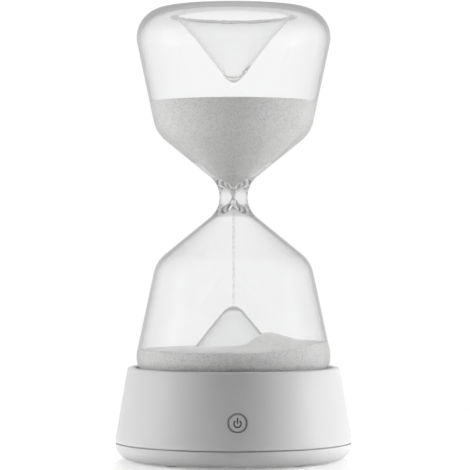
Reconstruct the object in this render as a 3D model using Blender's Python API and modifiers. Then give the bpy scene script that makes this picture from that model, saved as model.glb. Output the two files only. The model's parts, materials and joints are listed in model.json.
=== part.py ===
"""Hourglass night light: a sealed double glass bulb of sand that stands in a round lamp base.

Metres, +Z up. The origin lies on the table under the lamp's axis. The push button faces -Y and the
charging socket faces +Y. The glass stands loose in the seat of the base and lifts straight out.
"""

import math

import bmesh
import bpy
from mathutils import Matrix, Vector

# Clearances
GAP = 0.0003
SEAM_GAP = 0.0004
SEAT_CLEARANCE = 0.0006

# Facets of round shapes
TURN_STEPS = 32
SMALL_STEPS = 14
WIRE_SPAN_STEPS = 2
ARC_STEP = math.radians(26)
AXIS_MERGE = 0.00001
SHARP_ANGLE = math.radians(40)

# Glass: outer shape of one bulb, measured from the middle of the neck
HALF_LENGTH = 0.0770
BULB_RADIUS = 0.0398
SHOULDER_RADIUS = 0.0107
SIDE_TAPER = math.radians(12.0)
KNEE_HEIGHT = 0.0261
KNEE_RADIUS = 0.0140
NECK_RADIUS = 0.0057
NECK_FILLET = 0.0084

# Glass: walls, bore and the dents pushed into both ends
GLASS_WALL = 0.0016
BORE_RADIUS = 0.00075
BORE_FILLET = 0.0037
MOUTH_INSET = 0.0047
MOUTH_RADIUS = 0.0045
CUP_SEAM_INSET = 0.0008
DENT_TIP_RADIUS = 0.0024
UPPER_DENT_DEPTH = 0.0287
LOWER_DENT_DEPTH = 0.0311
FILL_HOLE_RADIUS = 0.0012
SEAL_PROUD = 0.0009

# Sand
UPPER_SAND_BELOW_DENT = 0.0083
CRATER_DEPTH = 0.0040
CRATER_RADIUS = 0.0130
CRATER_EDGE_DROP = 0.0008
UPPER_SAND_FOOT = 0.0010
LOWER_SAND_AT_WALL = 0.0150
LOWER_SAND_AT_DENT = 0.0172
MOUND_HEIGHT = 0.0036
MOUND_RADIUS = 0.0105
MOUND_X = 0.0165
MOUND_Y = -0.0170
HEAP_RINGS = 4

# Base: outer shape
RIM_WALL = 0.0025
RIM_ROUND = 0.0009
SEAT_EDGE_ROUND = 0.0005
FLARE = 0.0051
SKIRT_HEIGHT = 0.0092
SKIRT_ROUND = 0.0100
SEAM_HEIGHT = 0.0074
SEAM_LAND = 0.0002
FOOT_PROUD = 0.0008
GLASS_SUNK = 0.0080

# Base: walls
CASING_WALL = 0.0024
SHELF_THICKNESS = 0.0022
SEAT_CORNER_ROUND = 0.0020
COVER_WALL = 0.0024
LIP_THICKNESS = 0.0011
LIP_HEIGHT = 0.0022

# Seat cushion and light stack
CUSHION_THICKNESS = 0.0008
CUSHION_WIDTH = 0.0080
WINDOW_MARGIN = 0.0004
DIFFUSER_FLANGE = 0.0011
DIFFUSER_LIP = 0.0041
MIXING_GAP = 0.0014
LIGHT_BOX_WALL = 0.0016
LIGHT_BOX_FLOOR = 0.0016
WIRE_HOLE_RADIUS = 0.0030
LED_BOARD_RADIUS = 0.0240
LED_BOARD_THICKNESS = 0.0010
LED_COUNT = 6
LED_CIRCLE = 0.0140
LED_LENGTH = 0.0035
LED_WIDTH = 0.0028
LED_HEIGHT = 0.0008

# Screws and what they hold
POST_CLEARANCE = 0.0012
POST_RADIUS = 0.0030
POST_ANGLES = (45, 135, 225, 315)
COVER_BOSS_RADIUS = 0.0042
COVER_BOSS_HEIGHT = 0.0028
COVER_SCREW_RADIUS = 0.00105
COVER_SCREW_GRIP = 0.0065
COVER_HEAD_RADIUS = 0.0023
COVER_HEAD_HEIGHT = 0.0016
EAR_ANGLES = (90, 210, 330)
EAR_RADIUS = 0.0032
EAR_THICKNESS = 0.0012
LAMP_BOSS_RADIUS = 0.0026
SMALL_SCREW_RADIUS = 0.0009
SMALL_HEAD_RADIUS = 0.0019
SMALL_HEAD_HEIGHT = 0.0013
LAMP_SCREW_GRIP = 0.0036
BOARD_POST_RADIUS = 0.0024
BOARD_SCREW_GRIP = 0.0028
FOOT_RADIUS = 0.0050
FOOT_THICKNESS = 0.0015

# Battery
BATTERY_WIDTH = 0.0300
BATTERY_LENGTH = 0.0480
BATTERY_THICKNESS = 0.0060
BATTERY_ROUND = 0.0012
TAPE_WIDTH = 0.0240
TAPE_LENGTH = 0.0400
TAPE_THICKNESS = 0.0006
BOARD_CLEARANCE = 0.0039

# Main board and the pieces on it
BOARD_WIDTH = 0.0220
BOARD_THICKNESS = 0.0012
BOARD_MARGIN = 0.0008
BOARD_SCREW_INSET = 0.0035
BOARD_SCREW_REACH = 0.0200
INDUCTOR_SIZE = 0.0050
INDUCTOR_HEIGHT = 0.0030
INDUCTOR_PLACE = (0.0052, 0.0120)
PART_CLEARANCE = 0.0008
CONTROL_CHIP_LENGTH = 0.0050
CONTROL_CHIP_WIDTH = 0.0040
CONTROL_CHIP_HEIGHT = 0.0015
CONTROL_CHIP_PLACE = (-0.0050, 0.0090)
CHARGE_CHIP_SIZE = 0.0040
CHARGE_CHIP_HEIGHT = 0.0010
CHARGE_CHIP_PLACE = (0.0050, 0.0300)
CHARGE_LED_LENGTH = 0.0016
CHARGE_LED_WIDTH = 0.0010
CHARGE_LED_HEIGHT = 0.0007
CHARGE_LED_SIDE = 0.0028
CHARGE_LED_INSET = 0.0020

# Charging socket
USB_WIDTH = 0.00894
USB_HEIGHT = 0.00326
USB_LENGTH = 0.0080
USB_SHELL = 0.0003
USB_SHY = 0.0002
USB_TONGUE_WIDTH = 0.0064
USB_TONGUE_THICKNESS = 0.0007
USB_TONGUE_SHY = 0.0014
USB_BLOCK_LENGTH = 0.0020
USB_BLOCK_FIT = 0.0002

# Push button and switch
BUTTON_RADIUS = 0.00345
BUTTON_PROUD = 0.0003
BUTTON_TRAVEL = 0.0006
BUTTON_FLANGE_RADIUS = 0.0047
BUTTON_FLANGE = 0.0012
BUTTON_STEM_RADIUS = 0.0016
BUTTON_STEM = 0.0028
SWITCH_AXIS_HEIGHT = 0.0028
SWITCH_WIDTH = 0.0062
SWITCH_DEPTH = 0.0040
SWITCH_ABOVE_AXIS = 0.0031
PLUNGER_RADIUS = 0.0015
PLUNGER_SHOW = 0.0016
PLUNGER_INSIDE = 0.0013
TRAVEL_RESERVE = 0.0003
BOARD_FRONT_SHY = 0.0001

# Leads and their plug
SOCKET_LENGTH = 0.0070
SOCKET_WIDTH = 0.0055
SOCKET_DEPTH = 0.0048
SOCKET_WALL = 0.0008
SOCKET_X = 0.0030
SOCKET_FROM_BATTERY = 0.0045
PLUG_TAIL = 0.0050
BATTERY_WIRE_RADIUS = 0.00065
BATTERY_WIRE_PITCH = 0.0018
LED_WIRE_RADIUS = 0.0005
LED_WIRE_X = 0.0016
LED_PAD_X = 0.0056

# Plan sizes that follow from the glass
crest_radius = BULB_RADIUS - SHOULDER_RADIUS
cup_seam = crest_radius - CUP_SEAM_INSET
seat_radius = BULB_RADIUS + SEAT_CLEARANCE
rim_radius = seat_radius + RIM_WALL
base_radius = rim_radius + FLARE
window_radius = crest_radius - CUSHION_WIDTH / 2 - WINDOW_MARGIN
light_box_radius = window_radius + DIFFUSER_LIP
post_circle = light_box_radius + POST_CLEARANCE + POST_RADIUS

# Levels, from the table up
floor_top = FOOT_PROUD + COVER_WALL
tape_bottom = floor_top + GAP
battery_bottom = tape_bottom + TAPE_THICKNESS + GAP
battery_top = battery_bottom + BATTERY_THICKNESS
board_bottom = battery_top + BOARD_CLEARANCE
board_top = board_bottom + BOARD_THICKNESS
light_box_bottom = board_top + GAP + INDUCTOR_HEIGHT + PART_CLEARANCE
light_box_floor_top = light_box_bottom + LIGHT_BOX_FLOOR
ear_bottom = light_box_bottom + (LIGHT_BOX_FLOOR - EAR_THICKNESS) / 2
ear_top = ear_bottom + EAR_THICKNESS
led_board_bottom = light_box_floor_top + GAP
led_bottom = led_board_bottom + LED_BOARD_THICKNESS + GAP
diffuser_bottom = led_bottom + LED_HEIGHT + MIXING_GAP
shelf_bottom = diffuser_bottom + DIFFUSER_FLANGE + GAP
shelf_top = shelf_bottom + SHELF_THICKNESS
cushion_bottom = shelf_top + GAP
glass_bottom = cushion_bottom + CUSHION_THICKNESS + GAP
rim_top = glass_bottom + GLASS_SUNK
neck_height = glass_bottom + HALF_LENGTH
casing_bottom = SEAM_HEIGHT + SEAM_GAP
button_height = board_top + GAP + SWITCH_AXIS_HEIGHT
usb_height = board_top + GAP + USB_HEIGHT / 2

# Slope of the casing's outer wall
wall_slope = FLARE / (rim_top - SKIRT_HEIGHT)
wall_across = CASING_WALL * math.hypot(1, wall_slope)


def casing_radius(z):
    """Outer radius of the casing at height z above its skirt."""
    return base_radius - (z - SKIRT_HEIGHT) * wall_slope


def casing_inside(z):
    """Inner radius of the casing at height z under its shelf."""
    return casing_radius(z) - wall_across


def chord(radius, half_width):
    """Distance from the axis to the middle of a chord of a circle."""
    return math.sqrt(radius ** 2 - half_width ** 2)


# Depths along Y behind the front wall and in front of the rear wall
flange_front = chord(casing_inside(button_height + BUTTON_FLANGE_RADIUS), BUTTON_FLANGE_RADIUS) - GAP
flange_back = flange_front - BUTTON_FLANGE
stem_back = flange_back - BUTTON_STEM
plunger_front = stem_back - GAP
switch_front = plunger_front - PLUNGER_SHOW
plunger_back = switch_front - PLUNGER_INSIDE
switch_back = switch_front - SWITCH_DEPTH
board_front = switch_front - BOARD_FRONT_SHY
board_rear = chord(casing_inside(board_top), BOARD_WIDTH / 2) - BOARD_MARGIN
usb_front = chord(casing_radius(usb_height), USB_WIDTH / 2) - USB_SHY
usb_back = usb_front - USB_LENGTH
plug_y = -BATTERY_LENGTH / 2 - SOCKET_FROM_BATTERY - SOCKET_WIDTH / 2
plug_z = board_bottom - GAP - SOCKET_DEPTH / 2


# Scene helpers
def clear_scene():
    for obj in list(bpy.data.objects):
        bpy.data.objects.remove(obj, do_unlink=True)


def new_collection(name):
    made = bpy.data.collections.new(name)
    bpy.context.scene.collection.children.link(made)
    return made


def new_material(name, colour, roughness, metallic=0.0, transmission=0.0):
    made = bpy.data.materials.new(name)
    made.use_nodes = True
    shader = made.node_tree.nodes["Principled BSDF"]
    shader.inputs["Base Color"].default_value = (*colour, 1.0)
    shader.inputs["Roughness"].default_value = roughness
    shader.inputs["Metallic"].default_value = metallic
    shader.inputs["Transmission Weight"].default_value = transmission
    made.diffuse_color = (*colour, 1.0)
    return made


def new_object(name, data, finish):
    """An object with a finish is a part; one without is a helper that cuts or joins."""
    made = bpy.data.objects.new(name, data)
    if finish is None:
        CUTTERS.objects.link(made)
        made.hide_render = True
        made.display_type = "WIRE"
    else:
        PARTS.objects.link(made)
        data.materials.append(finish)
    return made


def new_empty(name, place):
    made = bpy.data.objects.new(name, None)
    made.location = place
    made.empty_display_size = FOOT_RADIUS
    PARTS.objects.link(made)
    return made


def hold(empty, *objects):
    """Parent objects to an empty and keep them where they are."""
    for obj in objects:
        obj.parent = empty
        obj.matrix_parent_inverse = Matrix.Translation(empty.location).inverted()


def combine(target, operation, *helpers):
    for helper in helpers:
        step = target.modifiers.new(helper.name, "BOOLEAN")
        step.operation = operation
        step.object = helper


def cut(target, *helpers):
    combine(target, "DIFFERENCE", *helpers)


def join(target, *helpers):
    combine(target, "UNION", *helpers)


def round_edges(obj, width):
    step = obj.modifiers.new("rounded edges", "BEVEL")
    step.width = width
    step.segments = 2


# Shape helpers
def turned(name, outline, finish, closed=False, place=(0, 0, 0), steps=TURN_STEPS):
    """Turn an outline of (r, z) points, which runs down its outer side, about the Z axis."""
    count = len(outline)
    edges = [(k, k + 1) for k in range(count - 1)]
    if closed:
        edges.append((count - 1, 0))
    mesh = bpy.data.meshes.new(name)
    mesh.from_pydata([(r, 0, z) for r, z in outline], edges, [])
    made = new_object(name, mesh, finish)
    made.location = place
    screw = made.modifiers.new("turn", "SCREW")
    screw.steps = steps
    screw.render_steps = steps
    screw.use_merge_vertices = True
    screw.merge_threshold = AXIS_MERGE
    return made


def mesh_object(name, shape, finish, place):
    mesh = bpy.data.meshes.new(name)
    shape.to_mesh(mesh)
    shape.free()
    mesh.shade_smooth()
    mesh.set_sharp_from_angle(angle=SHARP_ANGLE)
    made = new_object(name, mesh, finish)
    made.location = place
    return made


def cylinder(radius, depth, pulled):
    """A cylinder along Z; pulled draws its left and right halves apart into a slot shape."""
    shape = bmesh.new()
    bmesh.ops.create_cone(shape, cap_ends=True, segments=SMALL_STEPS, radius1=radius, radius2=radius,
                          depth=depth)
    for vertex in shape.verts:
        vertex.co.x += math.copysign(pulled, vertex.co.x)
    return shape


def upright(name, radius, at, low, high, finish=None, pulled=0.0, turn=0.0):
    """A cylinder or slot shape along Z."""
    made = mesh_object(name, cylinder(radius, high - low, pulled), finish, (*at, (low + high) / 2))
    made.rotation_euler = (0, 0, turn)
    return made


def lying(name, radius, height, near, far, finish=None, pulled=0.0):
    """A cylinder or slot shape along Y."""
    made = mesh_object(name, cylinder(radius, far - near, pulled), finish, (0, (near + far) / 2, height))
    made.rotation_euler = (math.radians(-90), 0, 0)
    return made


def block(name, low, high, finish=None, turn=0.0):
    """A box between two corners; turn rotates it about its own middle."""
    low = Vector(low)
    high = Vector(high)
    shape = bmesh.new()
    bmesh.ops.create_cube(shape, size=1.0, matrix=Matrix.Diagonal((*(high - low), 1.0)))
    made = mesh_object(name, shape, finish, (low + high) / 2)
    made.rotation_euler = (0, 0, turn)
    return made


def slab(name, place, size, low, height, finish, turn=0.0):
    """A box of a given plan size about a place, standing on a level."""
    x, y = place
    length, width = size
    return block(name, (x - length / 2, y - width / 2, low), (x + length / 2, y + width / 2, low + height),
                 finish, turn)


def on_circle(radius, degrees):
    angle = math.radians(degrees)
    return radius * math.cos(angle), radius * math.sin(angle)


def smooth_route(points):
    """Points along a smooth curve through hand-picked points."""
    points = [Vector(p) for p in points]
    padded = [2 * points[0] - points[1], *points, 2 * points[-1] - points[-2]]
    route = []
    for k in range(len(points) - 1):
        before, start, end, after = padded[k:k + 4]
        for step in range(WIRE_SPAN_STEPS):
            t = step / WIRE_SPAN_STEPS
            route.append(0.5 * (2 * start + (end - before) * t
                                + (2 * before - 5 * start + 4 * end - after) * t ** 2
                                + (3 * start - before - 3 * end + after) * t ** 3))
    return [*route, points[-1]]


def wire(name, points, radius, finish):
    data = bpy.data.curves.new(name, "CURVE")
    data.dimensions = "3D"
    data.bevel_depth = radius
    data.bevel_resolution = 2
    data.use_fill_caps = True
    route = smooth_route(points)
    spline = data.splines.new("POLY")
    spline.points.add(len(route) - 1)
    for target, place in zip(spline.points, route):
        target.co = (*place, 1.0)
    return new_object(name, data, finish)


# Outlines
def rounded(corners, closed=False):
    """The outline through corners (r, z, fillet), with an arc of that fillet at each corner."""
    count = len(corners)
    outline = []
    for k, (r, z, fillet) in enumerate(corners):
        here = Vector((r, z))
        at_end = not closed and k in (0, count - 1)
        if at_end or fillet == 0:
            outline.append(here)
            continue
        before = (Vector(corners[k - 1][:2]) - here).normalized()
        after = (Vector(corners[(k + 1) % count][:2]) - here).normalized()
        half = before.angle(after) / 2
        centre = here + (before + after).normalized() * fillet / math.sin(half)
        spoke = here + before * fillet / math.tan(half) - centre
        turn = math.copysign(math.pi - 2 * half, after.cross(before))
        steps = max(2, math.ceil(abs(turn) / ARC_STEP))
        for step in range(steps + 1):
            outline.append(centre + Matrix.Rotation(turn * step / steps, 2) @ spoke)
    return [tuple(point) for point in outline]


def tangent_angle(across, up, radius, side):
    """Angle from the axis of the line through (across, up) that touches a circle about (0, 0)."""
    return math.atan2(across, up) + side * math.asin(radius / math.hypot(across, up))


def moved_in(corner, normal_a, normal_b, inset):
    """A corner between two straight walls after both move inwards."""
    return corner - (normal_a + normal_b) * inset / (1 + normal_a.dot(normal_b))


def bulb_corners(inset, neck, fillet, depth):
    """Corners of one bulb's outline, its dent's angle and its neck corner, moved in by inset."""
    mouth = Vector((crest_radius - MOUTH_INSET, HALF_LENGTH))
    shoulder_reach = SHOULDER_RADIUS * (1 + math.sin(SIDE_TAPER)) / math.cos(SIDE_TAPER)
    shoulder = Vector((crest_radius + shoulder_reach, HALF_LENGTH))
    knee = Vector((shoulder.x - (HALF_LENGTH - KNEE_HEIGHT) * math.tan(SIDE_TAPER), KNEE_HEIGHT))
    dent = tangent_angle(mouth.x, depth - DENT_TIP_RADIUS, DENT_TIP_RADIUS, -1)
    cone = tangent_angle(knee.x - NECK_RADIUS - NECK_FILLET, knee.y, NECK_FILLET, 1)
    up = Vector((0, 1))
    side_out = Vector((math.cos(SIDE_TAPER), -math.sin(SIDE_TAPER)))
    cone_out = Vector((math.cos(cone), -math.sin(cone)))
    dent_out = Vector((-math.cos(dent), math.sin(dent)))
    mouth = moved_in(mouth, up, dent_out, inset)
    shoulder = moved_in(shoulder, up, side_out, inset)
    knee = moved_in(knee, side_out, cone_out, inset)
    cone = tangent_angle(knee.x - neck - fillet, knee.y, fillet, 1)
    neck_corner = (neck + fillet - fillet / math.cos(cone), 0.0, fillet)
    corners = [
        (*mouth, MOUTH_RADIUS - inset),
        (*shoulder, SHOULDER_RADIUS - inset),
        (*knee, KNEE_RADIUS - inset),
    ]
    return corners, dent, neck_corner


def dent_tip(inset, depth, dent, hole=0.0):
    """Round tip of a dent, from the axis or the edge of a hole out to the dent's cone."""
    radius = DENT_TIP_RADIUS + inset
    centre = HALF_LENGTH - depth + DENT_TIP_RADIUS
    start = math.asin(hole / radius)
    end = math.pi / 2 - dent
    steps = max(2, math.ceil((end - start) / ARC_STEP))
    angles = [start + (end - start) * k / steps for k in range(steps + 1)]
    return [(radius * math.sin(a), centre - radius * math.cos(a)) for a in angles]


def glass_surface(inset, neck, fillet):
    """Outline of the double bulb, moved in by inset, from the upper dent's tip to the lower one's."""
    upper, upper_dent, neck_corner = bulb_corners(inset, neck, fillet, UPPER_DENT_DEPTH)
    lower, lower_dent, neck_corner = bulb_corners(inset, neck, fillet, LOWER_DENT_DEPTH)
    upper_tip = dent_tip(inset, UPPER_DENT_DEPTH, upper_dent, FILL_HOLE_RADIUS)
    lower_tip = [(r, -z) for r, z in dent_tip(inset, LOWER_DENT_DEPTH, lower_dent)]
    below = [(r, -z, round_by) for r, z, round_by in lower]
    body = [(*upper_tip[-1], 0), *upper, neck_corner, *below[::-1], (*lower_tip[-1], 0)]
    return upper_tip[:-1] + rounded(body) + lower_tip[-2::-1]


def level_point(start, end, level):
    """Point at a level on the line between two outline points."""
    share = (level - start[1]) / (end[1] - start[1])
    return start[0] + (end[0] - start[0]) * share, level


def stretch_below(outline, level, end_level):
    """The outline from where it first sinks through level to where it next crosses end_level."""
    kept = []
    for start, end in zip(outline, outline[1:]):
        if not kept and start[1] > level >= end[1]:
            kept.append(level_point(start, end, level))
        if kept:
            if (start[1] - end_level) * (end[1] - end_level) < 0 and len(kept) > 1:
                kept.append(level_point(start, end, end_level))
                return kept
            kept.append(end)
    return kept


def past_seam(outline):
    """Number of outline points before it first passes the seam of its end cup."""
    return next(k for k, point in enumerate(outline) if point[0] > cup_seam)


def cup_part(outline):
    """The outline's first end, from the tip of the dent out to the seam."""
    count = past_seam(outline)
    return outline[:count] + [(cup_seam - GAP / 2, outline[count][1])]


def wall_part(outline):
    """The outline between the seams of its two end cups."""
    first = past_seam(outline)
    last = len(outline) - past_seam(outline[::-1])
    wall = outline[first:last]
    return [(cup_seam + GAP / 2, wall[0][1]), *wall, (cup_seam + GAP / 2, wall[-1][1])]


# Glass body
def make_glass():
    """A double bulb, open at both ends, and the end cups fused into its crests."""
    outer = glass_surface(0.0, NECK_RADIUS, NECK_FILLET)
    inner = glass_surface(GLASS_WALL, BORE_RADIUS, BORE_FILLET)
    place = (0, 0, neck_height)
    upper = cup_part(inner)[::-1] + cup_part(outer)
    lower = cup_part(inner[::-1]) + cup_part(outer[::-1])[::-1]
    return [
        turned("glass_bulb", wall_part(outer) + wall_part(inner)[::-1], GLASS, closed=True, place=place),
        turned("upper_cup", upper, GLASS, closed=True, place=place),
        turned("lower_cup", lower, GLASS, place=place),
    ]


def make_fill_seal():
    radius = FILL_HOLE_RADIUS - GAP
    foot = HALF_LENGTH - UPPER_DENT_DEPTH - GLASS_WALL
    head = HALF_LENGTH - UPPER_DENT_DEPTH + SEAL_PROUD
    outline = rounded([(0, head, 0), (radius, head, radius / 2), (radius, foot, 0), (0, foot, 0)])
    return turned("fill_seal", outline, GLASS, place=(0, 0, neck_height), steps=SMALL_STEPS)


def sand_bed():
    """The inside of the glass, less the gap that the sand keeps from it."""
    return glass_surface(GLASS_WALL + GAP, BORE_RADIUS - GAP, BORE_FILLET + GAP)


def make_sand_upper():
    level = HALF_LENGTH - UPPER_DENT_DEPTH - GLASS_WALL - UPPER_SAND_BELOW_DENT
    side = stretch_below(sand_bed(), level, UPPER_SAND_FOOT)
    crater = [(0, level - CRATER_DEPTH), (CRATER_RADIUS, level - CRATER_EDGE_DROP)]
    outline = [*crater, *side, (0, UPPER_SAND_FOOT)]
    return turned("sand_upper", outline, SAND, place=(0, 0, neck_height))


def make_sand_stream():
    high = UPPER_SAND_FOOT - GAP
    low = -(HALF_LENGTH - LOWER_DENT_DEPTH - GLASS_WALL) + GAP
    return upright("sand_stream", BORE_RADIUS - GAP, (0, 0), neck_height + low, neck_height + high, SAND)


def make_sand_lower():
    """A ring of sand about the lower dent, with a mound where the stream last slid down."""
    at_wall = LOWER_SAND_AT_WALL - HALF_LENGTH
    at_dent = LOWER_SAND_AT_DENT - HALF_LENGTH
    outline = stretch_below(sand_bed(), at_wall, at_dent)
    inside, outside = outline[-1], outline[0]
    top = [Vector(inside).lerp(Vector(outside), k / HEAP_RINGS) for k in range(1, HEAP_RINGS)]
    draft = turned("sand_lower_draft", outline + [tuple(point) for point in top], None, closed=True)
    bpy.context.view_layer.update()
    mesh = bpy.data.meshes.new_from_object(draft.evaluated_get(bpy.context.evaluated_depsgraph_get()))
    bpy.data.objects.remove(draft)
    for vertex in mesh.vertices:
        ring = Vector((math.hypot(vertex.co.x, vertex.co.y), vertex.co.z))
        if any((ring - point).length < AXIS_MERGE for point in top):
            away = math.hypot(vertex.co.x - MOUND_X, vertex.co.y - MOUND_Y) / MOUND_RADIUS
            vertex.co.z += MOUND_HEIGHT * math.exp(-away ** 2)
    mesh.name = "sand_lower"
    made = new_object("sand_lower", mesh, SAND)
    made.location = (0, 0, neck_height)
    return made


# Casing of the base
def make_upper_casing():
    rebate = base_radius - COVER_WALL + LIP_THICKNESS + GAP
    rebate_top = casing_bottom + LIP_HEIGHT + GAP
    outline = rounded([
        (rim_radius, rim_top, RIM_ROUND),
        (base_radius, SKIRT_HEIGHT, SKIRT_ROUND),
        (base_radius, casing_bottom, 0),
        (rebate, casing_bottom, 0),
        (rebate, rebate_top, 0),
        (casing_inside(rebate_top), rebate_top, 0),
        (casing_inside(shelf_bottom), shelf_bottom, 0),
        (window_radius, shelf_bottom, 0),
        (window_radius, shelf_top, 0),
        (seat_radius, shelf_top, SEAT_CORNER_ROUND),
        (seat_radius, rim_top, SEAT_EDGE_ROUND),
    ], closed=True)
    casing = turned("upper_casing", outline, WHITE_PLASTIC, closed=True)
    anchor = shelf_bottom + SHELF_THICKNESS / 2
    post_bottom = floor_top + COVER_BOSS_HEIGHT + GAP
    for k, angle in enumerate(POST_ANGLES, 1):
        at = on_circle(post_circle, angle)
        pilot_top = post_bottom + COVER_SCREW_GRIP + GAP
        join(casing, upright(f"cover_post_{k}", POST_RADIUS, at, post_bottom, anchor))
        cut(casing, upright(f"cover_pilot_{k}", COVER_SCREW_RADIUS + GAP, at,
                            post_bottom - POST_RADIUS, pilot_top))
    boss_bottom = ear_top + GAP
    for k, angle in enumerate(EAR_ANGLES, 1):
        at = on_circle(post_circle, angle)
        pilot_top = boss_bottom + LAMP_SCREW_GRIP + GAP
        join(casing, upright(f"lamp_boss_{k}", LAMP_BOSS_RADIUS, at, boss_bottom, anchor))
        cut(casing, upright(f"lamp_pilot_{k}", SMALL_SCREW_RADIUS + GAP, at,
                            boss_bottom - POST_RADIUS, pilot_top))
    button_hole = lying("button_hole", BUTTON_RADIUS + GAP, button_height, -base_radius, -flange_front)
    usb_hole = lying("usb_hole", USB_HEIGHT / 2 + GAP, usb_height, usb_back, base_radius,
                     pulled=(USB_WIDTH - USB_HEIGHT) / 2)
    cut(casing, button_hole, usb_hole)
    return casing


def make_bottom_cover():
    pan_radius = SEAM_HEIGHT - SEAM_LAND - FOOT_PROUD
    inner_radius = base_radius - COVER_WALL
    lip_radius = inner_radius + LIP_THICKNESS
    lip_top = casing_bottom + LIP_HEIGHT
    outline = rounded([
        (0, floor_top, 0),
        (inner_radius, floor_top, max(pan_radius - COVER_WALL, GAP)),
        (inner_radius, lip_top, 0),
        (lip_radius, lip_top, 0),
        (lip_radius, SEAM_HEIGHT, 0),
        (base_radius, SEAM_HEIGHT, 0),
        (base_radius, FOOT_PROUD, pan_radius),
        (0, FOOT_PROUD, 0),
    ])
    cover = turned("bottom_cover", outline, WHITE_PLASTIC)
    boss_top = floor_top + COVER_BOSS_HEIGHT
    recess_top = FOOT_THICKNESS + GAP
    head_top = recess_top + GAP + COVER_HEAD_HEIGHT
    for k, angle in enumerate(POST_ANGLES, 1):
        at = on_circle(post_circle, angle)
        join(cover, upright(f"cover_boss_{k}", COVER_BOSS_RADIUS, at, FOOT_PROUD + COVER_WALL / 2, boss_top))
        cut(cover,
            upright(f"foot_recess_{k}", FOOT_RADIUS + GAP, at, FOOT_PROUD - FOOT_RADIUS, recess_top),
            upright(f"head_recess_{k}", COVER_HEAD_RADIUS + GAP, at, FOOT_PROUD, head_top + GAP),
            upright(f"screw_way_{k}", COVER_SCREW_RADIUS + GAP, at, FOOT_PROUD, boss_top + FOOT_RADIUS))
    return cover


def make_screw(name, at, head_bottom, head_height, head_radius, shank_radius, shank_top):
    head_top = head_bottom + head_height
    outline = rounded([
        (0, shank_top, 0),
        (shank_radius, shank_top, 0),
        (shank_radius, head_top, 0),
        (head_radius, head_top, 0),
        (head_radius, head_bottom, head_height / 3),
        (0, head_bottom, 0),
    ])
    return turned(name, outline, STEEL, place=(*at, 0), steps=SMALL_STEPS)


def make_cover_screws():
    head_bottom = FOOT_THICKNESS + 2 * GAP
    shank_top = floor_top + COVER_BOSS_HEIGHT + GAP + COVER_SCREW_GRIP
    return [make_screw(f"cover_screw_{k}", on_circle(post_circle, angle), head_bottom, COVER_HEAD_HEIGHT,
                       COVER_HEAD_RADIUS, COVER_SCREW_RADIUS, shank_top)
            for k, angle in enumerate(POST_ANGLES, 1)]


def make_feet():
    outline = rounded([
        (0, FOOT_THICKNESS, 0),
        (FOOT_RADIUS, FOOT_THICKNESS, 0),
        (FOOT_RADIUS, 0, FOOT_PROUD / 2),
        (0, 0, 0),
    ])
    places = [(*on_circle(post_circle, angle), 0) for angle in POST_ANGLES]
    return [turned(f"foot_{k}", outline, RUBBER, place=place, steps=SMALL_STEPS)
            for k, place in enumerate(places, 1)]


# Seat and light stack
def make_seat_cushion():
    inside = crest_radius - CUSHION_WIDTH / 2
    outside = crest_radius + CUSHION_WIDTH / 2
    top = cushion_bottom + CUSHION_THICKNESS
    outline = [(outside, top), (outside, cushion_bottom), (inside, cushion_bottom), (inside, top)]
    return turned("seat_cushion", outline, WHITE_FOAM, closed=True)


def make_diffuser():
    flange_top = diffuser_bottom + DIFFUSER_FLANGE
    plug_radius = window_radius - GAP
    outline = [
        (0, shelf_top),
        (plug_radius, shelf_top),
        (plug_radius, flange_top),
        (light_box_radius, flange_top),
        (light_box_radius, diffuser_bottom),
        (0, diffuser_bottom),
    ]
    return turned("diffuser", outline, OPAL)


def board_screw_places():
    across = BOARD_WIDTH / 2 - BOARD_SCREW_INSET
    return [(across, -BOARD_SCREW_REACH), (-across, BOARD_SCREW_REACH)]


def make_light_box():
    """A white cup that mixes the light; ears screw it up to the shelf and posts carry the board."""
    rim = diffuser_bottom - GAP
    inside = light_box_radius - LIGHT_BOX_WALL
    outline = [
        (light_box_radius, rim),
        (light_box_radius, light_box_bottom),
        (WIRE_HOLE_RADIUS, light_box_bottom),
        (WIRE_HOLE_RADIUS, light_box_floor_top),
        (inside, light_box_floor_top),
        (inside, rim),
    ]
    cup = turned("light_box", outline, WHITE_PLASTIC, closed=True)
    root = light_box_radius - LIGHT_BOX_WALL - EAR_RADIUS
    for k, angle in enumerate(EAR_ANGLES, 1):
        middle = on_circle((root + post_circle) / 2, angle)
        join(cup, upright(f"ear_{k}", EAR_RADIUS, middle, ear_bottom, ear_top,
                          pulled=(post_circle - root) / 2, turn=math.radians(angle)))
        cut(cup, upright(f"ear_hole_{k}", SMALL_SCREW_RADIUS + GAP, on_circle(post_circle, angle),
                         ear_bottom - EAR_RADIUS, ear_top + EAR_RADIUS))
    post_bottom = board_top + GAP
    for k, at in enumerate(board_screw_places(), 1):
        pilot_top = post_bottom + BOARD_SCREW_GRIP + GAP
        join(cup, upright(f"board_post_{k}", BOARD_POST_RADIUS, at, post_bottom,
                          light_box_bottom + LIGHT_BOX_FLOOR / 2))
        cut(cup, upright(f"board_pilot_{k}", SMALL_SCREW_RADIUS + GAP, at, board_bottom, pilot_top))
    return cup


def make_light_box_screws():
    head_bottom = ear_bottom - GAP - SMALL_HEAD_HEIGHT
    shank_top = ear_top + GAP + LAMP_SCREW_GRIP
    return [make_screw(f"light_box_screw_{k}", on_circle(post_circle, angle), head_bottom,
                       SMALL_HEAD_HEIGHT, SMALL_HEAD_RADIUS, SMALL_SCREW_RADIUS, shank_top)
            for k, angle in enumerate(EAR_ANGLES, 1)]


def make_led_board():
    top = led_board_bottom + LED_BOARD_THICKNESS
    outline = [
        (LED_BOARD_RADIUS, top),
        (LED_BOARD_RADIUS, led_board_bottom),
        (WIRE_HOLE_RADIUS, led_board_bottom),
        (WIRE_HOLE_RADIUS, top),
    ]
    return turned("led_board", outline, WHITE_BOARD, closed=True)


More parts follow.
